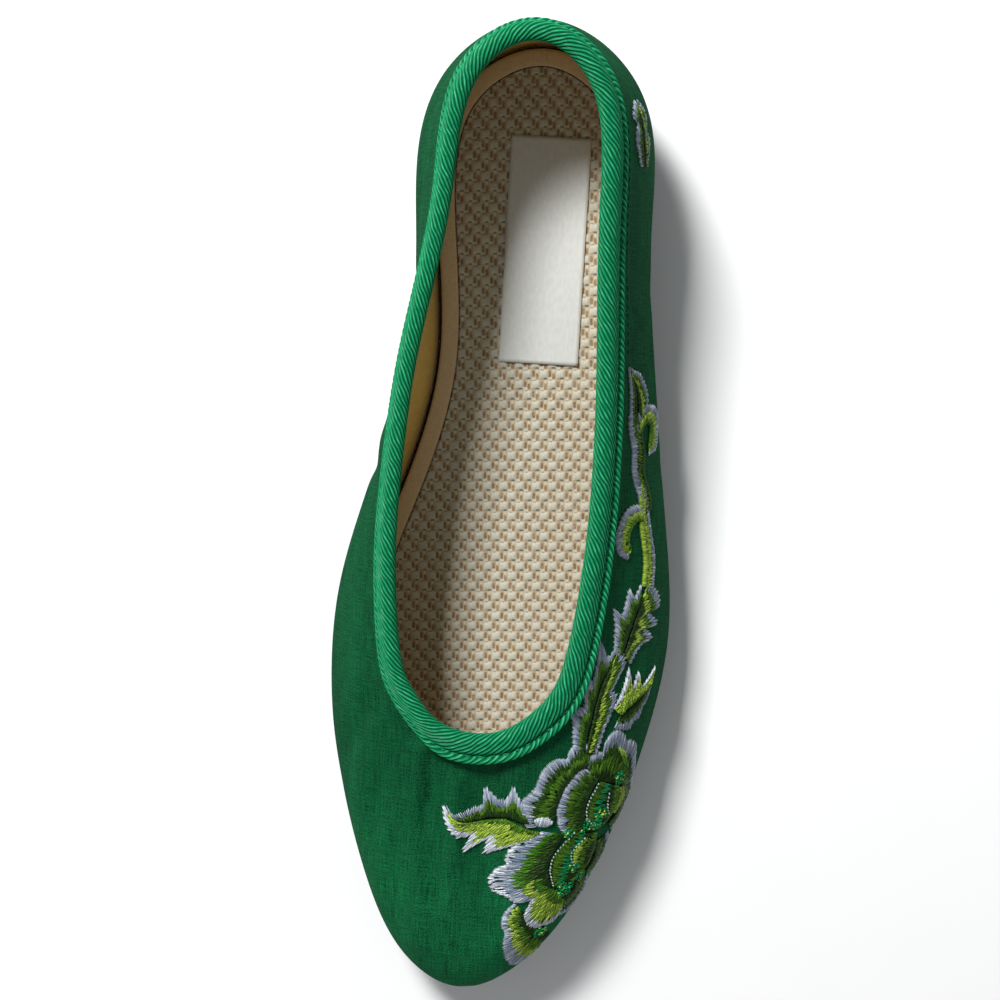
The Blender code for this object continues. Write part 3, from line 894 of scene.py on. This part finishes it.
# Embroidery: two peonies and their leaves, a bud and a curling stem in silk floss, worked in long and
# short satin stitch from the heart of each petal to its rim, over the outer side from the toe to the heel.
# A place is its distance towards the heel and up the side, seen square on to the outer side of the toe.
LOOK = unit(np.array([0.72, -0.25, 0.65]))
HEELWARDS = unit(np.array([0.0, 1.0, 0.0]) - LOOK * LOOK[1])
UPWARDS = np.cross(LOOK, HEELWARDS)
FLOSS_PITCH = 0.36
FLOSS_WIDTH = 0.46
FLOSS_SINK = 0.06
LAYER_STEP = 0.08
RAGGED_ENDS = 0.13
# share of white painted into the tips of rim threads as a highlight
RIM_HIGHLIGHT = 0.42
chance = np.random.default_rng(7)
FLOSS = {
    "white": dye(222, 228, 234), "lavender": dye(124, 141, 166), "lime": dye(174, 204, 76),
    "leaf": dye(84, 130, 30), "moss": dye(50, 88, 20), "dark": dye(24, 50, 12), "emerald": dye(0, 146, 84),
    "grass": dye(70, 132, 18), "pearl": dye(190, 214, 202),
}
# the second shade twisted into each colour
TWIST = {
    "white": "lavender", "lavender": "white", "lime": "leaf", "leaf": "dark", "moss": "dark",
    "dark": "moss", "emerald": "moss", "grass": "moss",
}
# lean of the threads towards the tip, depth of the fine teeth at the rim, and the floss colours from rim
# to base, each with the shares of the way out between which it is worked
RIM_PETAL = (
    0.0, 0.0,
    (("lavender", 0.58, 1.0), ("moss", 0.38, 0.72), ("leaf", 0.16, 0.54), ("dark", 0.0, 0.3)),
)
DEEP_PETAL = (
    0.0, 0.0,
    (("lavender", 0.62, 1.0), ("leaf", 0.38, 0.76), ("moss", 0.2, 0.54), ("dark", 0.0, 0.34)),
)
PALE_PETAL = (
    0.0, 0.02,
    (("white", 0.82, 1.0), ("lavender", 0.52, 0.9), ("grass", 0.34, 0.66), ("moss", 0.16, 0.46),
     ("dark", 0.0, 0.28)),
)
TOE_PETAL = (
    0.0, 0.0,
    (("lavender", 0.62, 1.0), ("lime", 0.42, 0.74), ("leaf", 0.22, 0.56), ("dark", 0.0, 0.34)),
)
LIME_PETAL = (
    0.0, 0.02,
    (("white", 0.7, 1.0), ("lime", 0.4, 0.82), ("lime", 0.18, 0.55), ("leaf", 0.0, 0.36)),
)
DARK_LEAF = (0.22, 0.1, (("lavender", 0.44, 1.0), ("leaf", 0.24, 0.6), ("dark", 0.0, 0.4)))
LIME_LEAF = (
    0.22, 0.12,
    (("white", 0.62, 1.0), ("lime", 0.46, 0.74), ("lime", 0.28, 0.56), ("lime", 0.1, 0.4),
     ("leaf", 0.0, 0.17)),
)
GREEN_LEAF = (
    0.22, 0.12,
    (("lavender", 0.58, 1.0), ("leaf", 0.38, 0.72), ("lime", 0.16, 0.5), ("dark", 0.0, 0.24)),
)
CURL = (0.0, 0.05, (("lavender", 0.46, 1.0), ("lime", 0.18, 0.62), ("leaf", 0.0, 0.3)))
LOWER_STEM = (0.0, 0.03, (("lavender", 0.58, 1.0), ("lime", 0.24, 0.74), ("lime", 0.0, 0.42)))
UPPER_STEM = (0.0, 0.03, (("lavender", 0.44, 1.0), ("leaf", 0.2, 0.62), ("moss", 0.0, 0.36)))
HEART = (
    0.0, 0.0,
    (("leaf", 0.66, 1.0), ("emerald", 0.46, 0.8), ("dark", 0.22, 0.6), ("leaf", 0.0, 0.36)),
)
ROLL = (0.0, 0.02, (("white", 0.0, 1.0),))
LIGHT_PATCH = (0.0, 0.06, (("lime", 0.4, 1.0), ("grass", 0.0, 0.6)))
# layer lift, stitch, base line, rim
FIRST_PEONY = {
    "heel petal": (
        0.3, RIM_PETAL,
        ((-48.6, 8.2), (-50.4, 5.2), (-51.0, 1.0), (-51.6, -3.0)),
        ((-45.9, 9.8), (-43.6, 10.2), (-41.9, 8.4), (-41.7, 6.0), (-39.6, 6.1), (-37.3, 4.9),
         (-35.8, 2.5), (-37.7, -0.6), (-39.4, -1.8), (-39.5, -4.1), (-41.8, -7.3), (-45.1, -8.4),
         (-48.9, -10.2), (-52.2, -9.6)),
    ),
    "upper petal": (
        0.34, RIM_PETAL,
        ((-61.6, 14.6), (-59.2, 14.4), (-55.9, 14.6), (-52.4, 14.0), (-49.2, 12.8), (-47.4, 11.4),
         (-46.4, 9.8)),
        ((-64.6, 20.4), (-62.8, 22.0), (-60.2, 23.2), (-57.5, 23.3), (-55.3, 22.4), (-53.3, 21.5),
         (-49.0, 21.1), (-46.5, 20.3), (-44.7, 18.4), (-44.2, 15.9), (-42.5, 15.9), (-40.5, 14.9),
         (-39.4, 12.2), (-41.2, 10.0)),
    ),
    "lower petal": (
        0.3, RIM_PETAL,
        ((-52.2, -3.0), (-55.5, -5.0), (-59.5, -4.8), (-62.2, -2.2)),
        ((-51.0, -9.4), (-54.0, -12.0), (-58.5, -12.2), (-62.5, -10.2), (-65.6, -6.0)),
    ),
    "inner petal": (
        0.5, DEEP_PETAL,
        ((-62.4, 6.0), (-60.0, 6.4), (-57.1, 7.2), (-53.7, 6.8), (-51.0, 6.0), (-49.6, 5.4)),
        ((-65.2, 11.0), (-63.3, 13.2), (-60.6, 14.5), (-58.5, 15.6), (-55.8, 15.6), (-52.6, 15.0),
         (-49.5, 14.0), (-47.1, 12.7), (-46.5, 10.6), (-47.9, 8.6)),
    ),
    "heel petal light": (
        0.56, LIGHT_PATCH,
        ((-46.6, -2.6), (-47.8, -5.0)),
        ((-40.2, 2.0), (-41.6, -0.9)),
    ),
    "rolled rim": (
        0.78, ROLL,
        ((-62.6, 19.3), (-63.9, 18.2), (-64.0, 16.4), (-62.7, 15.1)),
        ((-61.6, 19.2), (-60.3, 18.2), (-60.0, 16.6), (-61.0, 15.1)),
    ),
    "heart": (
        0.42, HEART,
        ((-52.0, -3.2), (-55.5, -3.6), (-59.5, -3.2), (-62.0, -1.0)),
        ((-49.8, 5.4), (-54.2, 6.6), (-57.0, 7.0), (-60.0, 6.2), (-62.6, 3.6)),
    ),
    "heart petal": (
        0.66, (0.0, 0.03, (("lime", 0.62, 1.0), ("lime", 0.36, 0.74), ("leaf", 0.0, 0.5))),
        ((-53.0, -0.4), (-56.0, -0.8), (-59.2, -1.0)),
        ((-51.8, -4.6), (-55.5, -6.6), (-59.8, -4.6)),
    ),
}
SECOND_PEONY = {
    "lower petal": (
        0.3, RIM_PETAL,
        ((-67.6, 1.4), (-71.5, -0.6), (-75.5, 0.4)),
        ((-65.2, -4.4), (-68.5, -7.4), (-73.0, -7.6), (-76.8, -5.2), (-78.8, -1.2)),
    ),
    "toe petal": (
        0.3, TOE_PETAL,
        ((-88.6, 14.2), (-91.8, 11.6), (-93.0, 9.4), (-92.8, 6.4), (-95.2, 3.6)),
        ((-86.6, 16.6), (-89.4, 17.6), (-92.6, 17.8), (-95.0, 17.1), (-96.7, 15.8), (-98.8, 15.4),
         (-102.0, 14.3), (-105.2, 11.9), (-107.4, 8.3), (-105.2, 4.4)),
    ),
    "great petal": (
        0.4, PALE_PETAL,
        ((-64.4, 11.2), (-68.6, 11.8), (-72.5, 12.2), (-76.4, 11.4), (-80.0, 9.8)),
        ((-64.9, 16.9), (-67.6, 19.5), (-70.0, 21.7), (-73.6, 22.4), (-76.8, 21.8), (-78.0, 22.9),
         (-81.2, 23.8), (-83.5, 23.4), (-85.4, 22.0), (-85.8, 19.2), (-86.9, 16.9), (-85.8, 14.6),
         (-83.7, 12.3)),
    ),
    "great petal light": (
        0.7, LIGHT_PATCH,
        ((-77.6, 12.2), (-80.4, 10.8)),
        ((-79.4, 16.4), (-83.0, 16.4), (-84.6, 13.6)),
    ),
    "side petal": (
        0.34, RIM_PETAL,
        ((-77.0, 3.6), (-80.5, 3.4), (-83.0, 5.4), (-84.5, 7.4)),
        ((-77.8, -2.4), (-82.5, -4.0), (-86.6, -2.4), (-89.6, 0.6), (-90.4, 5.0)),
    ),
    "front petal": (
        0.54, LIME_PETAL,
        ((-79.6, 11.6), (-80.4, 9.4), (-82.2, 6.6), (-83.8, 5.2)),
        ((-81.7, 13.4), (-86.7, 13.5), (-90.9, 13.6), (-93.1, 12.4), (-94.0, 10.0), (-93.3, 7.3),
         (-91.8, 4.6), (-87.8, 3.6)),
    ),
    "heart": (
        0.44, HEART,
        ((-64.6, 0.8), (-70.0, -0.6), (-75.5, 1.0), (-79.0, 4.0)),
        ((-63.4, 8.6), (-67.1, 10.6), (-69.2, 11.6), (-71.8, 12.4), (-75.6, 11.9), (-80.2, 9.6)),
    ),
    "heart petal": (
        0.66, (0.0, 0.0, (("lime", 0.66, 1.0), ("leaf", 0.36, 0.78), ("dark", 0.0, 0.5))),
        ((-67.0, 0.6), (-70.4, 0.0), (-74.0, 1.0)),
        ((-65.5, 4.8), (-68.9, 7.2), (-71.4, 7.2), (-74.6, 5.0)),
    ),
}
SIDE_LEAF_RIB = ((-15.4, 6.2), (-21.0, 9.0), (-24.7, 10.8), (-29.8, 11.8), (-35.2, 11.8), (-42.0, 11.6))
SMALL_LEAF_RIB = ((-34.2, 6.0), (-30.6, -0.6), (-26.0, -7.8))
BUD_RIB = ((-0.8, -1.2), (-8.0, 1.4), (-17.4, 4.6))
HEEL_LEAF_RIB = ((113.4, 15.9), (106.0, 13.6), (99.0, 11.6))
LEAVES_AND_STEM = {
    "vamp leaf, upper half": (
        0.36, DARK_LEAF,
        ((-64.6, 35.2), (-67.8, 32.8), (-67.3, 31.1), (-65.2, 27.5), (-63.7, 24.8), (-63.9, 22.1),
         (-63.6, 20.0)),
        ((-62.6, 36.2), (-63.9, 35.3), (-64.7, 34.6), (-64.2, 33.2), (-62.9, 31.7), (-61.3, 29.9),
         (-58.8, 30.5), (-56.6, 30.7), (-57.7, 29.1), (-58.6, 27.9), (-58.2, 26.4), (-56.2, 25.9),
         (-53.9, 25.8), (-55.7, 24.6), (-57.6, 23.2), (-60.0, 21.6)),
    ),
    "vamp leaf, lower half": (
        0.4, LIME_LEAF,
        ((-64.8, 35.1), (-67.8, 32.8), (-67.4, 31.1), (-65.2, 27.5), (-63.7, 24.8), (-64.1, 22.1),
         (-64.7, 19.8), (-65.0, 17.2)),
        ((-63.0, 36.6), (-66.8, 35.6), (-69.9, 33.9), (-71.5, 32.0), (-71.0, 30.2), (-75.3, 30.5),
         (-73.5, 28.7), (-71.7, 27.0), (-75.7, 26.5), (-73.6, 24.4), (-71.6, 22.7), (-70.2, 21.3),
         (-67.8, 19.4)),
    ),
    "side leaf, upper half": (
        0.38, DARK_LEAF, SIDE_LEAF_RIB,
        ((-14.6, 6.8), (-17.3, 9.6), (-14.8, 11.6), (-12.9, 13.6), (-16.5, 13.4), (-20.9, 13.5),
         (-22.8, 14.0), (-23.3, 16.6), (-27.2, 15.8), (-29.7, 15.2), (-31.3, 18.4), (-35.4, 17.0),
         (-41.8, 15.1)),
    ),
    "side leaf, lower half": (
        0.42, GREEN_LEAF, SIDE_LEAF_RIB,
        ((-14.6, 5.6), (-18.5, 2.8), (-22.2, 4.6), (-26.0, 6.4), (-27.4, 4.6), (-33.0, 5.9),
         (-35.8, 6.9), (-42.5, 7.6)),
    ),
    "small leaf, heel half": (
        0.46, LIME_LEAF, SMALL_LEAF_RIB,
        ((-30.4, 6.2), (-28.2, 4.2), (-24.6, 2.8), (-20.6, 1.8), (-25.1, 0.6), (-25.0, -0.6),
         (-21.8, -2.0), (-25.4, -3.2), (-25.0, -5.0), (-21.0, -9.1)),
    ),
    "small leaf, toe half": (
        0.36, DARK_LEAF, SMALL_LEAF_RIB,
        ((-36.4, 4.4), (-37.1, -1.2), (-35.0, -3.2), (-34.4, -5.4), (-32.0, -6.2), (-29.4, -8.0),
         (-24.6, -9.0)),
    ),
    "bud, upper half": (
        0.42, DARK_LEAF, BUD_RIB,
        ((0.4, 0.4), (-1.6, 1.6), (-3.1, 2.8), (-0.9, 4.8), (-4.0, 5.7), (-6.1, 6.2), (-7.4, 7.2),
         (-5.6, 10.0), (-10.1, 8.7), (-13.1, 8.5), (-17.4, 7.6)),
    ),
    "bud, lower half": (
        0.38, GREEN_LEAF, BUD_RIB,
        ((0.6, -2.6), (-2.4, -7.4), (-5.8, -8.5), (-6.9, -4.3), (-10.1, -8.1), (-10.9, -3.4),
         (-13.4, -6.4), (-15.3, -2.2), (-20.1, 1.2)),
    ),
    "lower stem": (
        0.4, LOWER_STEM,
        ((-0.6, 0.2), (4.7, 0.1), (8.9, 1.1), (15.5, 3.2), (20.0, 3.6), (24.5, 3.0)),
        ((-1.6, -5.2), (4.7, -5.4), (8.9, -4.4), (15.5, -2.0), (20.0, -0.6), (24.5, 2.0)),
    ),
    "upper stem": (
        0.4, UPPER_STEM,
        ((17.5, -2.2), (21.1, -1.8), (27.4, 1.2), (32.6, 2.4), (37.4, 4.6), (41.0, 6.6)),
        ((17.5, 3.4), (21.1, 4.0), (27.4, 7.4), (32.6, 8.4), (36.6, 10.5), (40.6, 11.2)),
    ),
    "curl over the bud": (
        0.46, CURL,
        ((14.6, 1.0), (15.0, 3.6), (13.4, 5.7), (10.9, 6.3), (8.9, 5.6)),
        ((17.5, 1.0), (19.0, 2.6), (19.4, 5.6), (17.8, 9.3), (14.7, 11.6), (10.9, 12.4), (7.4, 10.5),
         (5.8, 6.6)),
    ),
    "curl at the waist": (
        0.46, CURL,
        ((36.1, 4.7), (38.0, 3.3), (38.1, 1.3), (36.1, 0.5), (33.1, 0.8)),
        ((37.1, 7.1), (39.8, 7.8), (42.8, 4.8), (43.2, 0.5), (41.2, -4.5), (36.0, -5.6), (31.9, -4.0),
         (30.7, 0.1)),
    ),
    "end leaf, lower half": (
        0.38, GREEN_LEAF,
        ((51.6, 12.1), (46.2, 8.2), (40.0, 6.0)),
        ((52.6, 12.7), (51.4, 9.0), (50.6, 6.4), (46.2, 2.2), (41.4, 1.8)),
    ),
    "end leaf, upper half": (
        0.36, DARK_LEAF,
        ((51.6, 12.1), (46.2, 8.2), (38.6, 6.6)),
        ((52.6, 13.1), (48.7, 11.8), (45.7, 11.2), (37.9, 10.4)),
    ),
    "heel leaf, upper half": (
        0.38, DARK_LEAF, HEEL_LEAF_RIB,
        ((114.2, 16.8), (110.4, 18.8), (108.6, 16.6), (105.0, 17.2), (99.0, 13.8)),
    ),
    "heel leaf, lower half": (
        0.4, GREEN_LEAF, HEEL_LEAF_RIB,
        ((114.2, 15.2), (111.4, 10.2), (107.6, 10.6), (105.0, 8.4), (99.0, 9.4)),
    ),
}
# lines of white seed stitch, and knots: place and size
SEED_LINES = (
    ((-50.2, 5.4), (-54.2, 6.7), (-57.0, 7.1), (-60.0, 6.3), (-62.6, 3.4)),
    ((-53.2, 1.0), (-56.8, 0.6), (-60.0, -1.2)),
    ((-65.5, 4.8), (-68.9, 7.4), (-71.4, 7.4), (-74.6, 5.0)),
    ((-63.8, 8.6), (-67.1, 10.4), (-69.2, 11.4), (-71.8, 12.2), (-75.6, 11.7), (-80.0, 9.4)),
)
KNOTS = {
    "first heart": (-59.4, 1.4, 1.9),
    "first petal foot": (-62.6, 5.6, 2.0),
    "first heel side": (-49.6, -1.6, 2.1),
    "first tuft": (-62.2, 2.2, 1.7),
    "second heart": (-74.2, 5.4, 1.7),
    "second front": (-80.6, 5.6, 2.4),
    "second toe": (-94.6, 7.2, 1.8),
    "between": (-64.4, 10.2, 1.5),
    "second side": (-77.0, 2.4, 1.6),
}
guess_turn, guess_rise = np.meshgrid(np.linspace(-0.07, 0.47, 190), np.linspace(0.08, 1.0, 44))


def seen(turn, rise):
    """Pattern places of points on the wall."""
    points = wall(turn, rise)
    return np.stack([points @ HEELWARDS, points @ UPWARDS], -1)


guess_place = seen(guess_turn, guess_rise).reshape(-1, 2)


def on_wall(place):
    """Turn and rise behind pattern places: the nearest of a coarse grid, then five closing steps."""
    nearest = ((place[:, None] - guess_place) ** 2).sum(2).argmin(1)
    turn, rise = guess_turn.ravel()[nearest], guess_rise.ravel()[nearest]
    for _ in range(5):
        miss = seen(turn, rise) - place
        by_turn = (seen(turn + 0.0005, rise) - seen(turn - 0.0005, rise)) / 0.001
        by_rise = (seen(turn, rise + 0.0005) - seen(turn, rise - 0.0005)) / 0.001
        area = by_turn[:, 0] * by_rise[:, 1] - by_turn[:, 1] * by_rise[:, 0]
        turn_step = (miss[:, 0] * by_rise[:, 1] - miss[:, 1] * by_rise[:, 0]) / area
        rise_step = (by_turn[:, 0] * miss[:, 1] - by_turn[:, 1] * miss[:, 0]) / area
        turn = turn - np.clip(turn_step, -0.004, 0.004)
        rise = rise - np.clip(rise_step, -0.03, 0.03)
    return np.stack([turn, np.clip(rise, 0.02, 0.99)], 1)


def drawn_line(points):
    """A smooth line through given points, and the way along it.

    Each span is a cubic whose end slopes follow the chords of the points on either side.
    """
    points = np.array(points)
    ends = np.vstack([2 * points[0] - points[1], points, 2 * points[-1] - points[-2]])
    t = np.linspace(0.0, len(points) - 1.0, 24 * len(points))
    k = np.minimum(t.astype(int), len(points) - 2)
    f = (t - k)[:, None]
    a, b, c, d = ends[k], ends[k + 1], ends[k + 2], ends[k + 3]
    line = b + 0.5 * f * (c - a + f * (2 * a - 5 * b + 4 * c - d + f * (3 * (b - c) + d - a)))
    return line, way_along(line)


def places_on(line, way, share):
    """Places at shares of the way along a drawn line."""
    at = np.clip(share, 0.0, 1.0) * way[-1]
    return np.stack([np.interp(at, way, line[:, 0]), np.interp(at, way, line[:, 1])], 1)


def satin_rows(lift, stitch, base, rim):
    """Threads from a base line to a rim, side by side, each colour's ends long and short into the next.

    A lean starts each thread further from the tip than it ends, and teeth lengthen every few threads at
    the rim.
    """
    lean, teeth, shading = stitch
    base_line, rim_line = drawn_line(base), drawn_line(rim)
    count = int(max(base_line[1][-1], rim_line[1][-1]) / FLOSS_PITCH) + 2
    share = (np.arange(count) + 0.5) / count
    start = on_wall(places_on(*base_line, lean + (1.0 - lean) * share))
    end = on_wall(places_on(*rim_line, share))
    rows = []
    for layer, (colour, low, high) in enumerate(shading):
        long_short = chance.uniform(-RAGGED_ENDS, RAGGED_ENDS, count)
        at_rim, at_base = high == 1.0, low == 0.0
        comb = teeth * ((np.arange(count) % 4) / 3.0 - 0.6) + chance.uniform(-0.02, 0.015, count)
        near = low + (0.0 if at_base else 1.0) * long_short
        far = high + (comb if at_rim else long_short * 0.8)
        plain, second = np.array(FLOSS[colour]), np.array(FLOSS[TWIST[colour]])
        mixed = plain + (second - plain) * chance.uniform(0.0, 0.8, (count, 1)) ** 2
        tint = mixed * chance.uniform(0.7, 1.25, (count, 1))
        # painted highlight: white and lavender threads at a rim are painted whiter towards their tips
        rim_highlight_share = RIM_HIGHLIGHT if at_rim and colour in ("white", "lavender") else 0.0
        tip = tint + rim_highlight_share * (np.array(FLOSS["white"]) - tint)
        rows.append((start + (end - start) * near[:, None], start + (end - start) * far[:, None],
                     np.full(count, lift + LAYER_STEP * layer), tint, tip, np.full(count, FLOSS_WIDTH)))
    return rows


def seed_rows(points):
    """Seed stitch along a line: short thick white threads laid end to end like beads."""
    line, way = drawn_line(points)
    at = np.arange(0.5, way[-1], 1.0) / way[-1]
    ahead, behind = places_on(line, way, at + 0.42 / way[-1]), places_on(line, way, at - 0.42 / way[-1])
    count = len(at)
    tint = np.array(FLOSS["pearl"]) * chance.uniform(0.5, 0.9, (count, 1))
    return [(on_wall(behind), on_wall(ahead), np.full(count, 0.92), tint, tint, np.full(count, 0.48))]


def knot_rows(heelwards, upwards, size):
    """A tuft of knots: short loops of emerald floss and a few of lime, at all angles in a small round."""
    count = int(26 * size)
    angle, turn_angle = chance.uniform(0.0, 2 * np.pi, (2, count))
    away = size * np.sqrt(chance.uniform(0.0, 1.0, count))
    middle = np.stack([heelwards + away * np.cos(angle), upwards + away * np.sin(angle)], 1)
    half = 0.6 * np.stack([np.cos(turn_angle), np.sin(turn_angle)], 1)
    pick = chance.choice(["emerald"] * 6 + ["lime"], count)
    tint = np.array([FLOSS[name] for name in pick]) * chance.uniform(0.6, 1.3, (count, 1))
    lift = 0.6 + 0.45 * (1.0 - away / size)
    return [(on_wall(middle - half), on_wall(middle + half), lift, tint, tint, np.full(count, 0.5))]


def embroider(name, rows):
    """One piece of embroidery: each thread arches over the silk from start to end, with a painted
    highlight at a rim.
    """
    start, end, lift, tint, tip, width = (np.concatenate(column) for column in zip(*rows))
    width = width[:, None]
    share = np.linspace(0.0, 1.0, 6)
    way = start[:, None] + (end - start)[:, None] * share[:, None]
    face, out = silk_face(way[..., 0], way[..., 1])
    arch = np.sqrt(np.sin(np.pi * np.clip(share, 0.02, 0.98)))
    wobble = 1.0 + chance.uniform(-0.15, 0.15, (len(start), 1))
    centre = face + out * ((lift[:, None] * wobble) * arch - FLOSS_SINK)[..., None]
    points, faces = thread_bodies(centre, out, width * (0.55 + 0.45 * arch), 0.55 * width * arch)
    # the painted highlight at a rim grows with the cube of the way along the thread
    fade = np.concatenate([share[:1], np.repeat(share[1:-1], 3), share[-1:]])[:, None] ** 3
    shade = tint[:, None] + (tip - tint)[:, None] * fade
    shade = np.concatenate([shade, np.ones((*shade.shape[:2], 1))], -1)
    piece = add_piece(name, points, faces, [floss], carried={"floss": shade.reshape(-1, 4)})


floss = Finish("silk_floss", 0.45, coat=(0.4, 0.34))
filament = floss.shoe_cloud(3.5, 1.0)
colour = floss.carried("floss", "Color")
floss.paint(floss.between(filament * 1.2 - 0.45, colour, dye(14, 30, 8)))
floss.emboss(filament, 0.05)
for name, motif in (
    ("embroidered_first_peony", FIRST_PEONY),
    ("embroidered_second_peony", SECOND_PEONY),
    ("embroidered_leaves_and_stem", LEAVES_AND_STEM),
):
    embroider(name, [row for field in motif.values() for row in satin_rows(*field)])
hearts = [row for line in SEED_LINES for row in seed_rows(line)]
hearts += [row for knot in KNOTS.values() for row in knot_rows(*knot)]
embroider("embroidered_hearts", hearts)

# Studio: a pale floor, a key light from the inner heel side, weak fills, and a camera over the shoe that
# leans a little from upright, as far back as a hand-held one.
FLOOR_SIDE = 6000.0
floor_points = FLOOR_SIDE / 2 * np.array([[-1, -1, 0], [1, -1, 0], [1, 1, 0], [-1, 1, 0]])
pale = Finish("pale_floor", 0.9, 0.1)
x, y, z = pale.shoe_place()
pale.paint(pale.between(pale.cloud(x * 0.02, y * 0.02) * 0.6, dye(236, 236, 236), dye(242, 242, 242)))
floor = bpy.data.objects.new("floor", bpy.data.meshes.new("floor"))
floor.data.from_pydata((floor_points * MILLIMETRE).tolist(), [], [(0, 1, 2, 3)])
floor.data.materials.append(pale.material)
bpy.context.scene.collection.objects.link(floor)


def aimed(place, target, roll=0.0):
    """World matrix at a place whose back axis points away from a target, turned about that axis."""
    back = unit(place - target)
    right = unit(np.cross([0.0, 1.0, 0.0], back))
    up = np.cross(back, right)
    turned_right = np.cos(roll) * right + np.sin(roll) * up
    turned_up = np.cos(roll) * up - np.sin(roll) * right
    matrix = np.eye(4)
    matrix[:3, :3] = np.stack([turned_right, turned_up, back], 1)
    matrix[:3, 3] = place * MILLIMETRE
    return Matrix(matrix.tolist())


# place in mm, side in m, watts
LIGHTS = {
    "key": ((-430.0, 730.0, 950.0), 0.3, 23.0),
    "fill": ((900.0, -500.0, 900.0), 1.2, 0.5),
    "toe fill": ((-200.0, -1100.0, 700.0), 1.0, 1.6),
}
for name, (place, side, watts) in LIGHTS.items():
    light = bpy.data.lights.new(name, "AREA")
    light.shape = "SQUARE"
    light.size = side
    light.energy = watts
    lamp = bpy.data.objects.new(name, light)
    lamp.matrix_world = aimed(np.array(place), np.zeros(3))
    bpy.context.scene.collection.objects.link(lamp)
SKY_COLOUR = (0.95, 0.97, 1.0, 1.0)
SKY_STRENGTH = 0.24
world = bpy.data.worlds.new("studio")
world.use_nodes = True
world.node_tree.nodes["Background"].inputs["Color"].default_value = SKY_COLOUR
world.node_tree.nodes["Background"].inputs["Strength"].default_value = SKY_STRENGTH
bpy.context.scene.world = world

CAMERA_PLACE = np.array([24.392, 50.439, 542.317])
CAMERA_TARGET = np.array([-2.719, 5.18, 25.0])
CAMERA_ROLL = np.radians(4.83)
SENSOR_WIDTH = 36.0
FOCAL_LENGTH = 73.64
lens = bpy.data.cameras.new("camera")
lens.sensor_width = SENSOR_WIDTH
lens.lens = FOCAL_LENGTH
camera = bpy.data.objects.new("camera", lens)
camera.matrix_world = aimed(CAMERA_PLACE, CAMERA_TARGET, CAMERA_ROLL)
bpy.context.scene.collection.objects.link(camera)
bpy.context.scene.camera = camera
bpy.context.scene.view_settings.view_transform = "Standard"
